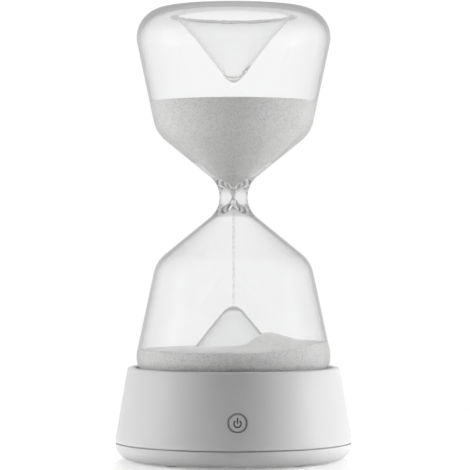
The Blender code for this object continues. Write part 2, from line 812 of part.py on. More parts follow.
def make_leds():
    made = []
    for k in range(LED_COUNT):
        angle = 360 * (k + 0.5) / LED_COUNT
        made.append(slab(f"led_{k + 1}", on_circle(LED_CIRCLE, angle), (LED_LENGTH, LED_WIDTH), led_bottom,
                         LED_HEIGHT, PHOSPHOR, math.radians(angle)))
    return made


# Electronics
def make_main_board():
    board = block("main_board", (-BOARD_WIDTH / 2, -board_front, board_bottom),
                  (BOARD_WIDTH / 2, board_rear, board_top), GREEN_BOARD)
    for k, at in enumerate(board_screw_places(), 1):
        cut(board, upright(f"board_hole_{k}", SMALL_SCREW_RADIUS + GAP, at, battery_top, light_box_bottom))
    return board


def make_board_screws():
    head_bottom = board_bottom - GAP - SMALL_HEAD_HEIGHT
    shank_top = board_top + GAP + BOARD_SCREW_GRIP
    return [make_screw(f"board_screw_{k}", at, head_bottom, SMALL_HEAD_HEIGHT, SMALL_HEAD_RADIUS,
                       SMALL_SCREW_RADIUS, shank_top)
            for k, at in enumerate(board_screw_places(), 1)]


def make_board_parts():
    low = board_top + GAP
    charge_led_place = (BOARD_WIDTH / 2 - CHARGE_LED_SIDE, board_rear - CHARGE_LED_INSET)
    return [
        slab("control_chip", CONTROL_CHIP_PLACE, (CONTROL_CHIP_LENGTH, CONTROL_CHIP_WIDTH), low,
             CONTROL_CHIP_HEIGHT, BLACK_PLASTIC),
        slab("charge_chip", CHARGE_CHIP_PLACE, (CHARGE_CHIP_SIZE, CHARGE_CHIP_SIZE), low,
             CHARGE_CHIP_HEIGHT, BLACK_PLASTIC),
        slab("power_inductor", INDUCTOR_PLACE, (INDUCTOR_SIZE, INDUCTOR_SIZE), low, INDUCTOR_HEIGHT, FERRITE),
        slab("charge_led", charge_led_place, (CHARGE_LED_LENGTH, CHARGE_LED_WIDTH), low,
             CHARGE_LED_HEIGHT, PHOSPHOR),
    ]


def make_usb_socket():
    pulled = (USB_WIDTH - USB_HEIGHT) / 2
    shell = lying("usb_shell", USB_HEIGHT / 2, usb_height, usb_back, usb_front, STEEL, pulled)
    cut(shell, lying("usb_mouth", USB_HEIGHT / 2 - USB_SHELL, usb_height, usb_back - USB_LENGTH,
                     usb_front + USB_LENGTH, pulled=pulled))
    half_block = USB_HEIGHT / 2 - USB_SHELL - USB_BLOCK_FIT
    half_width = USB_TONGUE_WIDTH / 2
    half_tongue = USB_TONGUE_THICKNESS / 2
    tongue = block("usb_tongue", (-half_width, usb_back, usb_height - half_tongue),
                   (half_width, usb_front - USB_TONGUE_SHY, usb_height + half_tongue), BLACK_PLASTIC)
    join(tongue, block("usb_back_block", (-half_width, usb_back, usb_height - half_block),
                       (half_width, usb_back + USB_BLOCK_LENGTH, usb_height + half_block)))
    return [shell, tongue]


def make_switch_body():
    body = block("switch_body", (-SWITCH_WIDTH / 2, -switch_front, board_top + GAP),
                 (SWITCH_WIDTH / 2, -switch_back, button_height + SWITCH_ABOVE_AXIS), BLACK_PLASTIC)
    well_back = plunger_back - BUTTON_TRAVEL - TRAVEL_RESERVE
    cut(body, lying("plunger_well", PLUNGER_RADIUS + GAP, button_height, -flange_front, -well_back))
    return body


def make_battery():
    cell = block("battery", (-BATTERY_WIDTH / 2, -BATTERY_LENGTH / 2, battery_bottom),
                 (BATTERY_WIDTH / 2, BATTERY_LENGTH / 2, battery_top), SILVER_FOIL)
    round_edges(cell, BATTERY_ROUND)
    tape = slab("battery_tape", (0, 0), (TAPE_WIDTH, TAPE_LENGTH), tape_bottom, TAPE_THICKNESS, GREY_FOAM)
    return [cell, tape]


def make_battery_plug():
    half_width = SOCKET_WIDTH / 2
    half_depth = SOCKET_DEPTH / 2
    end = SOCKET_X + SOCKET_LENGTH
    socket = block("battery_socket", (SOCKET_X, plug_y - half_width, plug_z - half_depth),
                   (end, plug_y + half_width, plug_z + half_depth), CREAM_PLASTIC)
    start = SOCKET_X - PLUG_TAIL
    well_width = half_width - SOCKET_WALL
    well_depth = half_depth - SOCKET_WALL
    cut(socket, block("socket_well", (start, plug_y - well_width, plug_z - well_depth),
                      (end - SOCKET_WALL, plug_y + well_width, plug_z + well_depth)))
    nose_width = well_width - GAP
    nose_depth = well_depth - GAP
    plug = block("battery_plug", (start, plug_y - nose_width, plug_z - nose_depth),
                 (end - SOCKET_WALL - GAP, plug_y + nose_width, plug_z + nose_depth), CREAM_PLASTIC)
    return [socket, plug]


def make_battery_wires():
    start_x = SOCKET_X - PLUG_TAIL - GAP
    cell_y = -BATTERY_LENGTH / 2 - GAP
    cell_z = battery_bottom + BATTERY_THICKNESS / 2
    red_y = plug_y - BATTERY_WIRE_PITCH / 2
    black_y = plug_y + BATTERY_WIRE_PITCH / 2
    red = [
        (start_x, red_y, plug_z),
        (-0.0050, red_y, plug_z),
        (-0.0096, red_y + 0.0012, plug_z - 0.0007),
        (-0.0118, red_y + 0.0040, plug_z - 0.0026),
        (-0.0118, cell_y - 0.0017, cell_z + 0.0003),
        (-0.0118, cell_y, cell_z),
    ]
    black = [
        (start_x, black_y, plug_z),
        (-0.0042, black_y, plug_z),
        (-0.0072, black_y + 0.0010, plug_z - 0.0008),
        (-0.0086, black_y + 0.0028, plug_z - 0.0026),
        (-0.0086, cell_y - 0.0015, cell_z + 0.0003),
        (-0.0086, cell_y, cell_z),
    ]
    return [wire("battery_wire_red", red, BATTERY_WIRE_RADIUS, RED_COVER),
            wire("battery_wire_black", black, BATTERY_WIRE_RADIUS, BLACK_COVER)]


def make_led_wires():
    low = board_top + GAP
    pad = led_bottom
    made = []
    for name, side, finish in (("led_wire_red", 1, RED_COVER), ("led_wire_black", -1, BLACK_COVER)):
        rise = side * LED_WIRE_X
        land = side * LED_PAD_X
        points = [
            (rise, 0, low),
            (rise, 0, light_box_bottom),
            (rise, 0, led_board_bottom),
            (rise + side * 0.0003, 0, pad + 0.0001),
            (rise + side * 0.0015, 0, pad + 0.0011),
            (land - side * 0.0010, 0, pad + 0.0011),
            (land, 0, pad + 0.0004),
            (land, 0, pad),
        ]
        made.append(wire(name, points, LED_WIRE_RADIUS, finish))
    return made


# Push button
def make_button_cap():
    """A round cap whose face follows the casing's wall, with a flange behind the wall and a stem."""
    low = button_height - 2 * BUTTON_RADIUS
    high = button_height + 2 * BUTTON_RADIUS
    cap = lying("button_cap", BUTTON_RADIUS, button_height, -base_radius - BUTTON_RADIUS, -flange_back,
                WHITE_PLASTIC)
    face = turned("button_face", [
        (0, high),
        (casing_radius(high) + BUTTON_PROUD, high),
        (casing_radius(low) + BUTTON_PROUD, low),
        (0, low),
    ], None)
    combine(cap, "INTERSECT", face)
    stem_root = -flange_front + BUTTON_FLANGE / 2
    join(cap,
         lying("button_flange", BUTTON_FLANGE_RADIUS, button_height, -flange_front, -flange_back),
         lying("button_stem", BUTTON_STEM_RADIUS, button_height, stem_root, -stem_back))
    return cap


def make_switch_plunger():
    return lying("switch_plunger", PLUNGER_RADIUS, button_height, -plunger_front, -plunger_back,
                 CREAM_PLASTIC)


clear_scene()
PARTS = new_collection("hourglass_night_light")
CUTTERS = new_collection("cutters")

GLASS = new_material("clear_glass", (0.96, 0.97, 0.97), 0.02, transmission=1.0)
SAND = new_material("white_sand", (0.78, 0.78, 0.77), 0.95)
WHITE_PLASTIC = new_material("white_plastic", (0.80, 0.80, 0.80), 0.45)
OPAL = new_material("opal_plastic", (0.86, 0.86, 0.85), 0.55)
RUBBER = new_material("grey_rubber", (0.20, 0.20, 0.20), 0.85)
WHITE_FOAM = new_material("white_foam", (0.72, 0.72, 0.71), 0.95)
STEEL = new_material("bright_steel", (0.62, 0.62, 0.64), 0.30, 1.0)
WHITE_BOARD = new_material("white_board", (0.85, 0.85, 0.84), 0.50)
GREEN_BOARD = new_material("green_board", (0.04, 0.22, 0.10), 0.45)
PHOSPHOR = new_material("led_phosphor", (0.90, 0.80, 0.35), 0.40)
BLACK_PLASTIC = new_material("black_plastic", (0.03, 0.03, 0.03), 0.50)
FERRITE = new_material("grey_ferrite", (0.16, 0.16, 0.17), 0.70)
CREAM_PLASTIC = new_material("cream_plastic", (0.78, 0.74, 0.64), 0.50)
SILVER_FOIL = new_material("silver_foil", (0.66, 0.67, 0.68), 0.35, 0.8)
GREY_FOAM = new_material("grey_foam", (0.45, 0.45, 0.45), 0.95)
RED_COVER = new_material("red_wire_cover", (0.55, 0.03, 0.03), 0.45)
BLACK_COVER = new_material("black_wire_cover", (0.02, 0.02, 0.02), 0.45)

base_origin = new_empty("base_origin", (0, 0, 0))
glass_origin = new_empty("glass_origin", (0, 0, neck_height))
button_origin = new_empty("button_origin", (0, -casing_radius(button_height), button_height))

hold(base_origin, make_upper_casing(), make_bottom_cover(), *make_cover_screws(), *make_feet())
hold(base_origin, make_seat_cushion(), make_diffuser(), make_light_box(), *make_light_box_screws())
hold(base_origin, make_led_board(), *make_leds(), *make_led_wires())
hold(base_origin, make_main_board(), *make_board_screws(), *make_board_parts())
hold(base_origin, *make_usb_socket(), make_switch_body())
hold(base_origin, *make_battery(), *make_battery_plug(), *make_battery_wires())
hold(glass_origin, *make_glass(), make_fill_seal())
hold(glass_origin, make_sand_upper(), make_sand_stream(), make_sand_lower())
hold(button_origin, make_button_cap(), make_switch_plunger())

print(f"rim {rim_top:.4f} m, base radius {base_radius:.4f} m, height {neck_height + HALF_LENGTH:.4f} m")
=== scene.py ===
# %% [markdown]
# # A lesson in Blender: an hourglass night light
# The object is a sealed glass with sand in it, standing loose in a round white lamp base. The CAD frame
# already holds every part at its true place, so each piece here is modelled where its node is, only
# finer.

# %% Load the frame and keep its size
import json
import math

import bpy
from mathutils import Matrix, Vector, noise as wander


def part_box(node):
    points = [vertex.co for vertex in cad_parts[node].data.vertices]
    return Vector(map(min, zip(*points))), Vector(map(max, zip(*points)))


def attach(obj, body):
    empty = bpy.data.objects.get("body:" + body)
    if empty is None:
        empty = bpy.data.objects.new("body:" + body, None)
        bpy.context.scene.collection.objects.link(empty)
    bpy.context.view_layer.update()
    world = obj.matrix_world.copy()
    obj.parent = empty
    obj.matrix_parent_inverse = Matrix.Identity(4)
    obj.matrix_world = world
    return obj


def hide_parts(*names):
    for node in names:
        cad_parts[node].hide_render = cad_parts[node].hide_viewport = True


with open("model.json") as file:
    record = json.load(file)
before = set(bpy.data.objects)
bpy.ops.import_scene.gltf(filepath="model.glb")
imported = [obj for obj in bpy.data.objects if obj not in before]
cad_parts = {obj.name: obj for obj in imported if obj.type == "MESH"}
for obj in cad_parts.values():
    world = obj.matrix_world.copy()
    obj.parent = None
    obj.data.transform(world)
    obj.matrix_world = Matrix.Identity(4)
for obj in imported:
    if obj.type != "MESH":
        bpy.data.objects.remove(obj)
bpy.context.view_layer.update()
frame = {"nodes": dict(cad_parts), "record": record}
scene = bpy.context.scene

# %% [markdown]
# ## Camera
# A product picture like this is taken with a long lens from nearly a metre away, so the sides stay almost
# parallel. The camera stands a little left of the button and at half the height of the glass, and looks a
# hair upwards.

# %% Camera
CAMERA_PLACE = Vector((-0.0315, -0.9495, 0.0875))
CAMERA_AIM = Vector((0.0006, 0.0, 0.0916))
LENS = 178.9
SENSOR = 36.0


def facing(place, aim):
    """Rotation of a camera or lamp that looks from its place at the aim."""
    return (aim - place).to_track_quat("-Z", "Y").to_euler()


bpy.ops.object.camera_add(location=CAMERA_PLACE)
camera = bpy.context.object
camera.name = "portrait_camera"
camera.rotation_euler = facing(CAMERA_PLACE, CAMERA_AIM)
camera.data.lens = LENS
camera.data.sensor_width = SENSOR
camera.data.clip_end = 20.0
scene.camera = camera
print("camera", round((CAMERA_AIM - CAMERA_PLACE).length, 3), "m away")

# %% [markdown]
# ## Nodes by call
# Lamps, world, floor and finishes are all small sums of nodes. Each helper here makes a node or two, feeds
# the inputs and hands back the output, so that a chain of nodes reads like a formula.

# %% Helpers for nodes
def feed(source, socket):
    """Link an input to the output that feeds it, or give it a plain value."""
    if isinstance(source, bpy.types.NodeSocket):
        socket.id_data.links.new(source, socket)
    else:
        socket.default_value = source


def beside(socket, kind):
    """A new node in the tree that a socket belongs to."""
    return socket.id_data.nodes.new(kind)


def reckon(operation, *values, clamp=False):
    """A Math node."""
    made = beside(values[0], "ShaderNodeMath")
    made.operation = operation
    made.use_clamp = clamp
    for value, socket in zip(values, made.inputs):
        feed(value, socket)
    return made.outputs[0]


def times(one, other):
    return reckon("MULTIPLY", one, other)


def ranged(value, low, high, start=0.0, end=1.0, kind="LINEAR"):
    """A Map Range node: from low to high, while the value goes from start to end."""
    made = beside(value, "ShaderNodeMapRange")
    made.interpolation_type = kind
    for name, number in (("From Min", start), ("From Max", end), ("To Min", low), ("To Max", high)):
        feed(number, made.inputs[name])
    feed(value, made.inputs["Value"])
    return made.outputs["Result"]


def apart(vector):
    """X, Y and Z of a vector."""
    made = beside(vector, "ShaderNodeSeparateXYZ")
    feed(vector, made.inputs["Vector"])
    return made.outputs[:]


def from_axis(place):
    """Distance of a place from the upright axis."""
    flat = beside(place, "ShaderNodeVectorMath")
    flat.operation = "MULTIPLY"
    feed(place, flat.inputs[0])
    feed((1.0, 1.0, 0.0), flat.inputs[1])
    across = beside(place, "ShaderNodeVectorMath")
    across.operation = "LENGTH"
    feed(flat.outputs["Vector"], across.inputs[0])
    return across.outputs["Value"]


def ramp(value, *steps):
    """A colour ramp through steps of (position, colour)."""
    made = beside(value, "ShaderNodeValToRGB")
    stops = made.color_ramp.elements
    for stop, (position, colour) in zip(stops[:], (steps[0], steps[-1])):
        stop.position = position
        stop.color = (*colour, 1.0)
    for position, colour in steps[1:-1]:
        stops.new(position).color = (*colour, 1.0)
    feed(value, made.inputs["Fac"])
    return made.outputs["Color"]


def tinted(colour, tint):
    """A colour multiplied by another."""
    made = beside(colour, "ShaderNodeMix")
    made.data_type = "RGBA"
    made.blend_type = "MULTIPLY"
    feed(1.0, made.inputs["Factor"])
    feed(colour, made.inputs["A"])
    feed(tint, made.inputs["B"])
    return made.outputs["Result"]


def bumped(height, strength, distance, invert=False):
    """A Bump node."""
    made = beside(height, "ShaderNodeBump")
    made.invert = invert
    feed(strength, made.inputs["Strength"])
    feed(distance, made.inputs["Distance"])
    feed(height, made.inputs["Height"])
    return made.outputs["Normal"]


def object_place(tree):
    return tree.nodes.new("ShaderNodeTexCoord").outputs["Object"]


def ray_path(tree):
    """What a ray has met so far, and whether it has met no rough surface yet."""
    path = tree.nodes.new("ShaderNodeLightPath").outputs
    return path, reckon("LESS_THAN", path["Diffuse Depth"], 0.5)


def new_material(name):
    """A material with nodes, its node tree and the inputs of its shader."""
    made = bpy.data.materials.new(name)
    made.use_nodes = True
    return made, made.node_tree, made.node_tree.nodes["Principled BSDF"].inputs


print("helpers for nodes are ready")

# %% [markdown]
# ## Studio
# Clear glass is photographed in front of a bright field: it shows mostly what lies behind it. A softbox
# stands on each side, square to the line of sight, so the round base is bright at its edges and darkest
# in the middle. The lamps fade towards their own edges and are almost hidden behind glass, because a hard
# lamp image would cut across it. A third lamp above and a fourth behind light the sand and the back. The
# world is white to rays that come straight or through glass, dimmer once a surface has mirrored it, which
# draws the walls of the glass in grey, and dimmer overhead, which greys the crest. The floor is lit near
# the object, where it keeps the shadow, and plain white further out.

# %% Softboxes
scene.view_settings.view_transform = "Standard"
LAMP_AIM = Vector((0, 0, 0.09))
FADE_GAIN = 16.0


def add_softbox(name, place, side, watts, mirrored):
    """A square lamp that fades towards its edges, as cloth in front of a bulb does; the gain keeps its watts.
    Only the mirrored share of it shows as an image in or behind glass."""
    bpy.ops.object.light_add(type="AREA", location=place)
    lamp = bpy.context.object
    lamp.name = name
    lamp.data.shape = "SQUARE"
    lamp.data.size = side
    lamp.data.energy = watts
    lamp.visible_camera = False
    lamp.visible_glossy = False
    lamp.data.use_nodes = True
    tree = lamp.data.node_tree
    across = apart(tree.nodes.new("ShaderNodeNewGeometry").outputs["Parametric"])
    fades = [reckon("PINGPONG", axis, 0.5) for axis in across[:2]]
    path = tree.nodes.new("ShaderNodeLightPath").outputs
    image = ranged(path["Transmission Depth"], 1.0, mirrored)
    level = reckon("MAXIMUM", image, path["Diffuse Depth"], clamp=True)
    shown = times(times(*fades), level)
    feed(times(shown, FADE_GAIN), tree.nodes["Emission"].inputs["Strength"])
    lamp.rotation_euler = facing(Vector(place), LAMP_AIM)


add_softbox("right_softbox", (0.873, -0.107, 0.25), 0.6, 8.9, 0.03)
add_softbox("left_softbox", (-0.873, -0.107, 0.25), 0.6, 6.9, 0.05)
add_softbox("top_softbox", (0.0, 0.10, 1.0), 0.7, 1.5, 0.0)
add_softbox("back_softbox", (0.0, 0.75, 0.75), 0.7, 6.0, 0.0)

# %% World
MIRRORED = 0.68
AMBIENT = 0.02
world = bpy.data.worlds.new("white_studio")
world.use_nodes = True
scene.world = world
air = world.node_tree
air.nodes.clear()
path, straight = ray_path(air)
y, z = apart(air.nodes.new("ShaderNodeTexCoord").outputs["Generated"])[1:]
walls = ranged(path["Transmission Depth"], 0.0, 0.7, 5.0, 7.0)
around = reckon("ADD", reckon("MULTIPLY_ADD", z, 0.8, y), walls)
backdrop = ranged(around, 0.20, 0.95, -0.10, 0.60, "SMOOTHSTEP")
share = reckon("MAXIMUM", straight, times(path["Is Transmission Ray"], backdrop))
mirrored = ranged(path["Glossy Depth"], 1.0, MIRRORED)
overhead = ranged(z, 1.0, 0.75, 0.10, 0.45, "SMOOTHSTEP")
full = reckon("MAXIMUM", path["Is Camera Ray"], path["Diffuse Depth"])
seen = reckon("MAXIMUM", times(mirrored, overhead), full, clamp=True)
choose = air.nodes.new("ShaderNodeMixShader")
feed(share, choose.inputs["Fac"])
for colour, strength, socket in (((1.0, 1.0, 1.0, 1.0), AMBIENT, 1), (seen, 1.0, 2)):
    light = air.nodes.new("ShaderNodeBackground")
    feed(colour, light.inputs["Color"])
    feed(strength, light.inputs["Strength"])
    feed(light.outputs[0], choose.inputs[socket])
feed(choose.outputs[0], air.nodes.new("ShaderNodeOutputWorld").inputs["Surface"])
print("world", world.name, "ambient", AMBIENT)

# %% Floor
LIT_REACH = 0.06
PLAIN_REACH = 0.30
bpy.ops.mesh.primitive_plane_add(size=12.0, location=(0, 0, 0))
floor = bpy.context.object
floor.name = "floor"
paper, sheet, matte = new_material("white_paper")
feed(0.9, matte["Roughness"])
feed(0.0, matte["Specular IOR Level"])
path, straight = ray_path(sheet)
through = times(path["Is Transmission Ray"], 0.85)
mirrored = ranged(path["Glossy Depth"], 1.0, MIRRORED)
share = reckon("MAXIMUM", times(straight, mirrored), through)
reach = from_axis(object_place(sheet))
feed(ranged(reach, 0.85, 0.0, LIT_REACH, PLAIN_REACH), matte["Base Color"])
far = ranged(reach, 0.35, 1.0, LIT_REACH, PLAIN_REACH)
feed((1.0, 1.0, 1.0, 1.0), matte["Emission Color"])
feed(times(share, far), matte["Emission Strength"])
floor.data.materials.append(paper)
print("floor", floor.dimensions.x, "m wide")

# %% [markdown]
# ## Outlines that are turned
# Glass, sand, casing, pan and feet are all round, so each starts as a line on one side of the axis. A
# plane is merged to a single point, the point is extruded along the outline, and the line is spun about
# the axis. Corners get true arcs, worked out here, because a bevel modifier can't give each corner a
# radius of its own.

# %% Helpers for outlines
ARC_STEP = math.radians(5)
TURN_STEPS = 144
SMALL = 0.000001


def rounded(corners, closed=False):
    """Points along corners (r, z, fillet), with an arc of that fillet at each corner."""
    count = len(corners)
    outline = []
    for k, (r, z, fillet) in enumerate(corners):
        here = Vector((r, z))
        if fillet == 0 or (not closed and k in (0, count - 1)):
            outline.append(here)
            continue
        before = (Vector(corners[k - 1][:2]) - here).normalized()
        after = (Vector(corners[(k + 1) % count][:2]) - here).normalized()
        half = before.angle(after) / 2
        centre = here + (before + after).normalized() * fillet / math.sin(half)
        spoke = here + before * fillet / math.tan(half) - centre
        turn = math.copysign(math.pi - 2 * half, after.cross(before))
        steps = max(3, math.ceil(abs(turn) / ARC_STEP))
        for step in range(steps + 1):
            outline.append(centre + Matrix.Rotation(turn * step / steps, 2) @ spoke)
    return outline


def divided(outline, longest):
    """The same outline with its long straights cut into shorter steps."""
    points = [Vector(outline[0])]
    for start, end in zip(outline, outline[1:]):
        steps = max(1, math.ceil((Vector(end) - Vector(start)).length / longest))
        points += [Vector(start).lerp(Vector(end), (k + 1) / steps) for k in range(steps)]
    return points


def edit_all():
    """Go to edit mode on the active object, with all of it selected."""
    bpy.ops.object.mode_set(mode="EDIT")
    bpy.ops.mesh.select_all(action="SELECT")


def edit_done():
    bpy.ops.object.mode_set(mode="OBJECT")


def merge_near(distance):
    bpy.ops.mesh.select_all(action="SELECT")
    bpy.ops.mesh.remove_doubles(threshold=distance)


def extrude(way):
    bpy.ops.mesh.extrude_region_move(TRANSFORM_OT_translate={"value": way})


def named(name):
    """The object that was just made, under a name of its own."""
    made = bpy.context.object
    made.name = name
    made.data.name = name
    return made


def start_point(name):
    """A new mesh object of one vertex, in edit mode, with its object at the origin."""
    bpy.ops.mesh.primitive_plane_add(size=0.001, location=(0, 0, 0))
    made = named(name)
    edit_all()
    bpy.ops.mesh.merge(type="CENTER")
    return made


def draw(outline, closed=False):
    """Extrude the selected vertex at the origin along an outline of (r, z) points."""
    points = [Vector((p[0], 0, p[1])) for p in outline]
    bpy.ops.transform.translate(value=points[0])
    if closed:
        points.append(points[0])
    for start, end in zip(points, points[1:]):
        bpy.ops.mesh.extrude_vertices_move(TRANSFORM_OT_translate={"value": end - start})
    merge_near(SMALL / 2)
    bpy.ops.mesh.select_all(action="SELECT")


def spin(steps=TURN_STEPS, sweep=math.tau):
    """Spin the selected line round the upright axis and close the seam."""
    bpy.ops.mesh.spin(steps=steps, angle=sweep, center=(0, 0, 0), axis=(0, 0, 1))
    merge_near(2 * SMALL)
    bpy.ops.mesh.normals_make_consistent(inside=False)


def shade(sharp):
    """Smooth shading, with edges sharper than that many degrees kept."""
    bpy.ops.object.shade_smooth_by_angle(angle=math.radians(sharp))


def tell(made):
    print(made.name, len(made.data.polygons), "faces,", [round(1000 * d, 2) for d in made.dimensions], "mm")


def leave_edit(made, sharp=35):
    edit_done()
    shade(sharp)
    tell(made)
    return made


def turned(name, outline, closed=False, steps=TURN_STEPS, sharp=35):
    made = start_point(name)
    draw(outline, closed)
    spin(steps)
    return leave_edit(made, sharp)


def block(name, low, high):
    """A box between two corners."""
    bpy.ops.mesh.primitive_cube_add(size=1.0, location=(0, 0, 0))
    made = named(name)
    edit_all()
    bpy.ops.transform.resize(value=high - low, center_override=(0, 0, 0))
    bpy.ops.transform.translate(value=(low + high) / 2)
    edit_done()
    return made


def pick(*objects):
    """Select these objects alone; the last one is active."""
    bpy.ops.object.select_all(action="DESELECT")
    for obj in objects:
        obj.select_set(True)
    bpy.context.view_layer.objects.active = objects[-1]


def combine(target, helper, operation):
    """A boolean that is applied at once, with its slivers cleared; the helper is thrown away."""
    pick(target)
    bpy.ops.object.modifier_add(type="BOOLEAN")
    step = target.modifiers[-1]
    step.operation = operation
    step.solver = "EXACT"
    step.object = helper
    bpy.ops.object.modifier_apply(modifier=step.name)
    bpy.data.objects.remove(helper)
    edit_all()
    merge_near(SMALL)
    bpy.ops.mesh.dissolve_degenerate(threshold=SMALL)
    edit_done()


def copied(made, name, x, y):
    """A copy with its own mesh, moved sideways from the axis to its place."""
    pick(made)
    bpy.ops.object.duplicate(linked=False)
    copy = named(name)
    edit_all()
    bpy.ops.transform.translate(value=(x, y, 0))
    edit_done()
    return copy


def repeated(made, places):
    """One object of copies, one at each place. The piece they are copied from goes."""
    row = [copied(made, f"{made.name}_{k}", place.x, place.y) for k, place in enumerate(places, 1)]
    bpy.data.objects.remove(made)
    pick(*row)
    bpy.ops.object.join()
    return bpy.context.object


def settle(piece, body, finish, slot, *nodes):
    """Give a finished piece its material and its body, and hide the nodes that it stands for. The slot is not
    used.
    """
    piece.data.materials.clear()
    piece.data.materials.append(finish)
    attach(piece, body)
    if nodes:
        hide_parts(*nodes)


print("turned shapes have", TURN_STEPS, "steps")

# %% [markdown]
# ## A shared surface effect
# No moulded, turned or cast surface is perfectly even. One node group gives every finish a broad mottle
# for colour, a second one for polish and a fine relief for bump. Each material places the group with its
# own scales.

# %% Node group: uneven surface
uneven = bpy.data.node_groups.new("uneven_surface", "ShaderNodeTree")
for socket, value in (("Broad Scale", 60.0), ("Fine Scale", 2500.0)):
    made = uneven.interface.new_socket(socket, in_out="INPUT", socket_type="NodeSocketFloat")
    made.default_value = value
for socket in ("Mottle", "Polish", "Relief"):
    uneven.interface.new_socket(socket, in_out="OUTPUT", socket_type="NodeSocketFloat")
inlet = uneven.nodes.new("NodeGroupInput")
outlet = uneven.nodes.new("NodeGroupOutput")
spot = object_place(uneven)
shift = uneven.nodes.new("ShaderNodeMapping")
feed((0.31, 0.17, 0.53), shift.inputs["Location"])
feed(spot, shift.inputs["Vector"])
for where, source, detail, target in (
        (spot, "Broad Scale", 4.0, "Mottle"),
        (spot, "Fine Scale", 3.0, "Relief"),
        (shift.outputs["Vector"], "Broad Scale", 5.0, "Polish")):
    noise = uneven.nodes.new("ShaderNodeTexNoise")
    feed(detail, noise.inputs["Detail"])
    feed(where, noise.inputs["Vector"])
    feed(inlet.outputs[source], noise.inputs["Scale"])
    feed(noise.outputs["Fac"], outlet.inputs[target])
print("group", uneven.name, "has", len(uneven.nodes), "nodes")

# %% Finishes built on the group
def place_uneven(tree, broad, fine):
    """The group with scales of its own."""
    group = tree.nodes.new("ShaderNodeGroup")
    group.node_tree = uneven
    feed(broad, group.inputs["Broad Scale"])
    feed(fine, group.inputs["Fine Scale"])
    return group.outputs


def new_finish(name, dark, light, polish, broad, fine, bump, metallic=0.0, relief=0.0001):
    """A Principled material whose colour and roughness wander between two values."""
    made, tree, shader = new_material(name)
    feed(metallic, shader["Metallic"])
    group = place_uneven(tree, broad, fine)
    feed(ramp(group["Mottle"], (0.3, dark), (0.7, light)), shader["Base Color"])
    feed(ranged(group["Polish"], *polish, 0.3, 0.7), shader["Roughness"])
    feed(bumped(group["Relief"], bump, relief), shader["Normal"])
    return made


def grey(low, high):
    return (low, low, low), (high, high, high)


white_plastic = new_finish("white_plastic", *grey(0.645, 0.67), (0.36, 0.46), 45.0, 5200.0, 0.12)
rubber = new_finish("grey_rubber", *grey(0.16, 0.21), (0.75, 0.92), 300.0, 3000.0, 0.35)
foam = new_finish("white_foam", *grey(0.66, 0.74), (0.88, 0.98), 400.0, 3600.0, 0.7, relief=0.0002)
opal_with_painted_glow = new_finish("opal_plastic", *grey(0.82, 0.86), (0.46, 0.58), 70.0, 4200.0, 0.08)
# Painted glow: the opal disc emits a faint light of its own, which stands in for the light that it gathers
# through the glass.
painted_glow = opal_with_painted_glow.node_tree.nodes["Principled BSDF"].inputs
feed((1.0, 0.99, 0.97, 1.0), painted_glow["Emission Color"])
feed(0.15, painted_glow["Emission Strength"])
print("finishes", [m.name for m in (white_plastic, rubber, foam, opal_with_painted_glow)])

# %% [markdown]
# ## Glass
# The real glass is blown: two bulbs drawn into a thick neck with a fine bore, both ends pushed in to a
# dent, and a lump where the fill hole was fused shut. A solidify modifier would give one even wall, but
# this wall is thinner in the dents and thicker at the crest, at the tips and round the bore, so the outer
# and inner surfaces are two turned lines. The inner one is flipped, because its air side faces the sand.
# A photograph's glass has grey edges, where it shows the dark sides of the room. This room is white all
# round, so the finish darkens by the angle of view instead.

# %% Sizes of the glass
HALF_LENGTH = 0.0770
CREST_RADIUS = 0.0272
SHOULDER_RADIUS = 0.0122
SIDE_TAPER = math.radians(12.0)
KNEE_HEIGHT = 0.0261
KNEE_RADIUS = 0.0140
NECK_RADIUS = 0.0057
NECK_FILLET = 0.0108
GLASS_WALL = 0.0012
DENT_WALL = 0.0007
CREST_WALL = 0.0019
BORE_RADIUS = 0.0003
BORE_ROUND = 0.0020
FUNNEL_ANGLE = math.radians(20.0)
FUNNEL_ROUND = 0.0040
MOUTH_INSET = 0.0028
MOUTH_RADIUS = 0.0045
UPPER_DENT = 0.0287
LOWER_DENT = 0.0315
UPPER_TIP_RADIUS = 0.0044
LOWER_TIP_RADIUS = 0.0040
LOWER_BOW = 0.0017
NECK_Z = (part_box("glass_bulb")[0].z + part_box("glass_bulb")[1].z) / 2


def touching_angle(across, up, radius, side):
    """Angle from the axis of the line through (across, up) that touches a circle about (0, 0)."""
    return math.atan2(across, up) + side * math.asin(radius / math.hypot(across, up))


def moved_in(corner, normal_a, inset_a, normal_b, inset_b):
    """A corner after the lines on both sides of it are moved in."""
    lean = normal_a.dot(normal_b)
    along_a = (inset_a - inset_b * lean) / (1 - lean ** 2)
    along_b = (inset_b - inset_a * lean) / (1 - lean ** 2)
    return corner - normal_a * along_a - normal_b * along_b


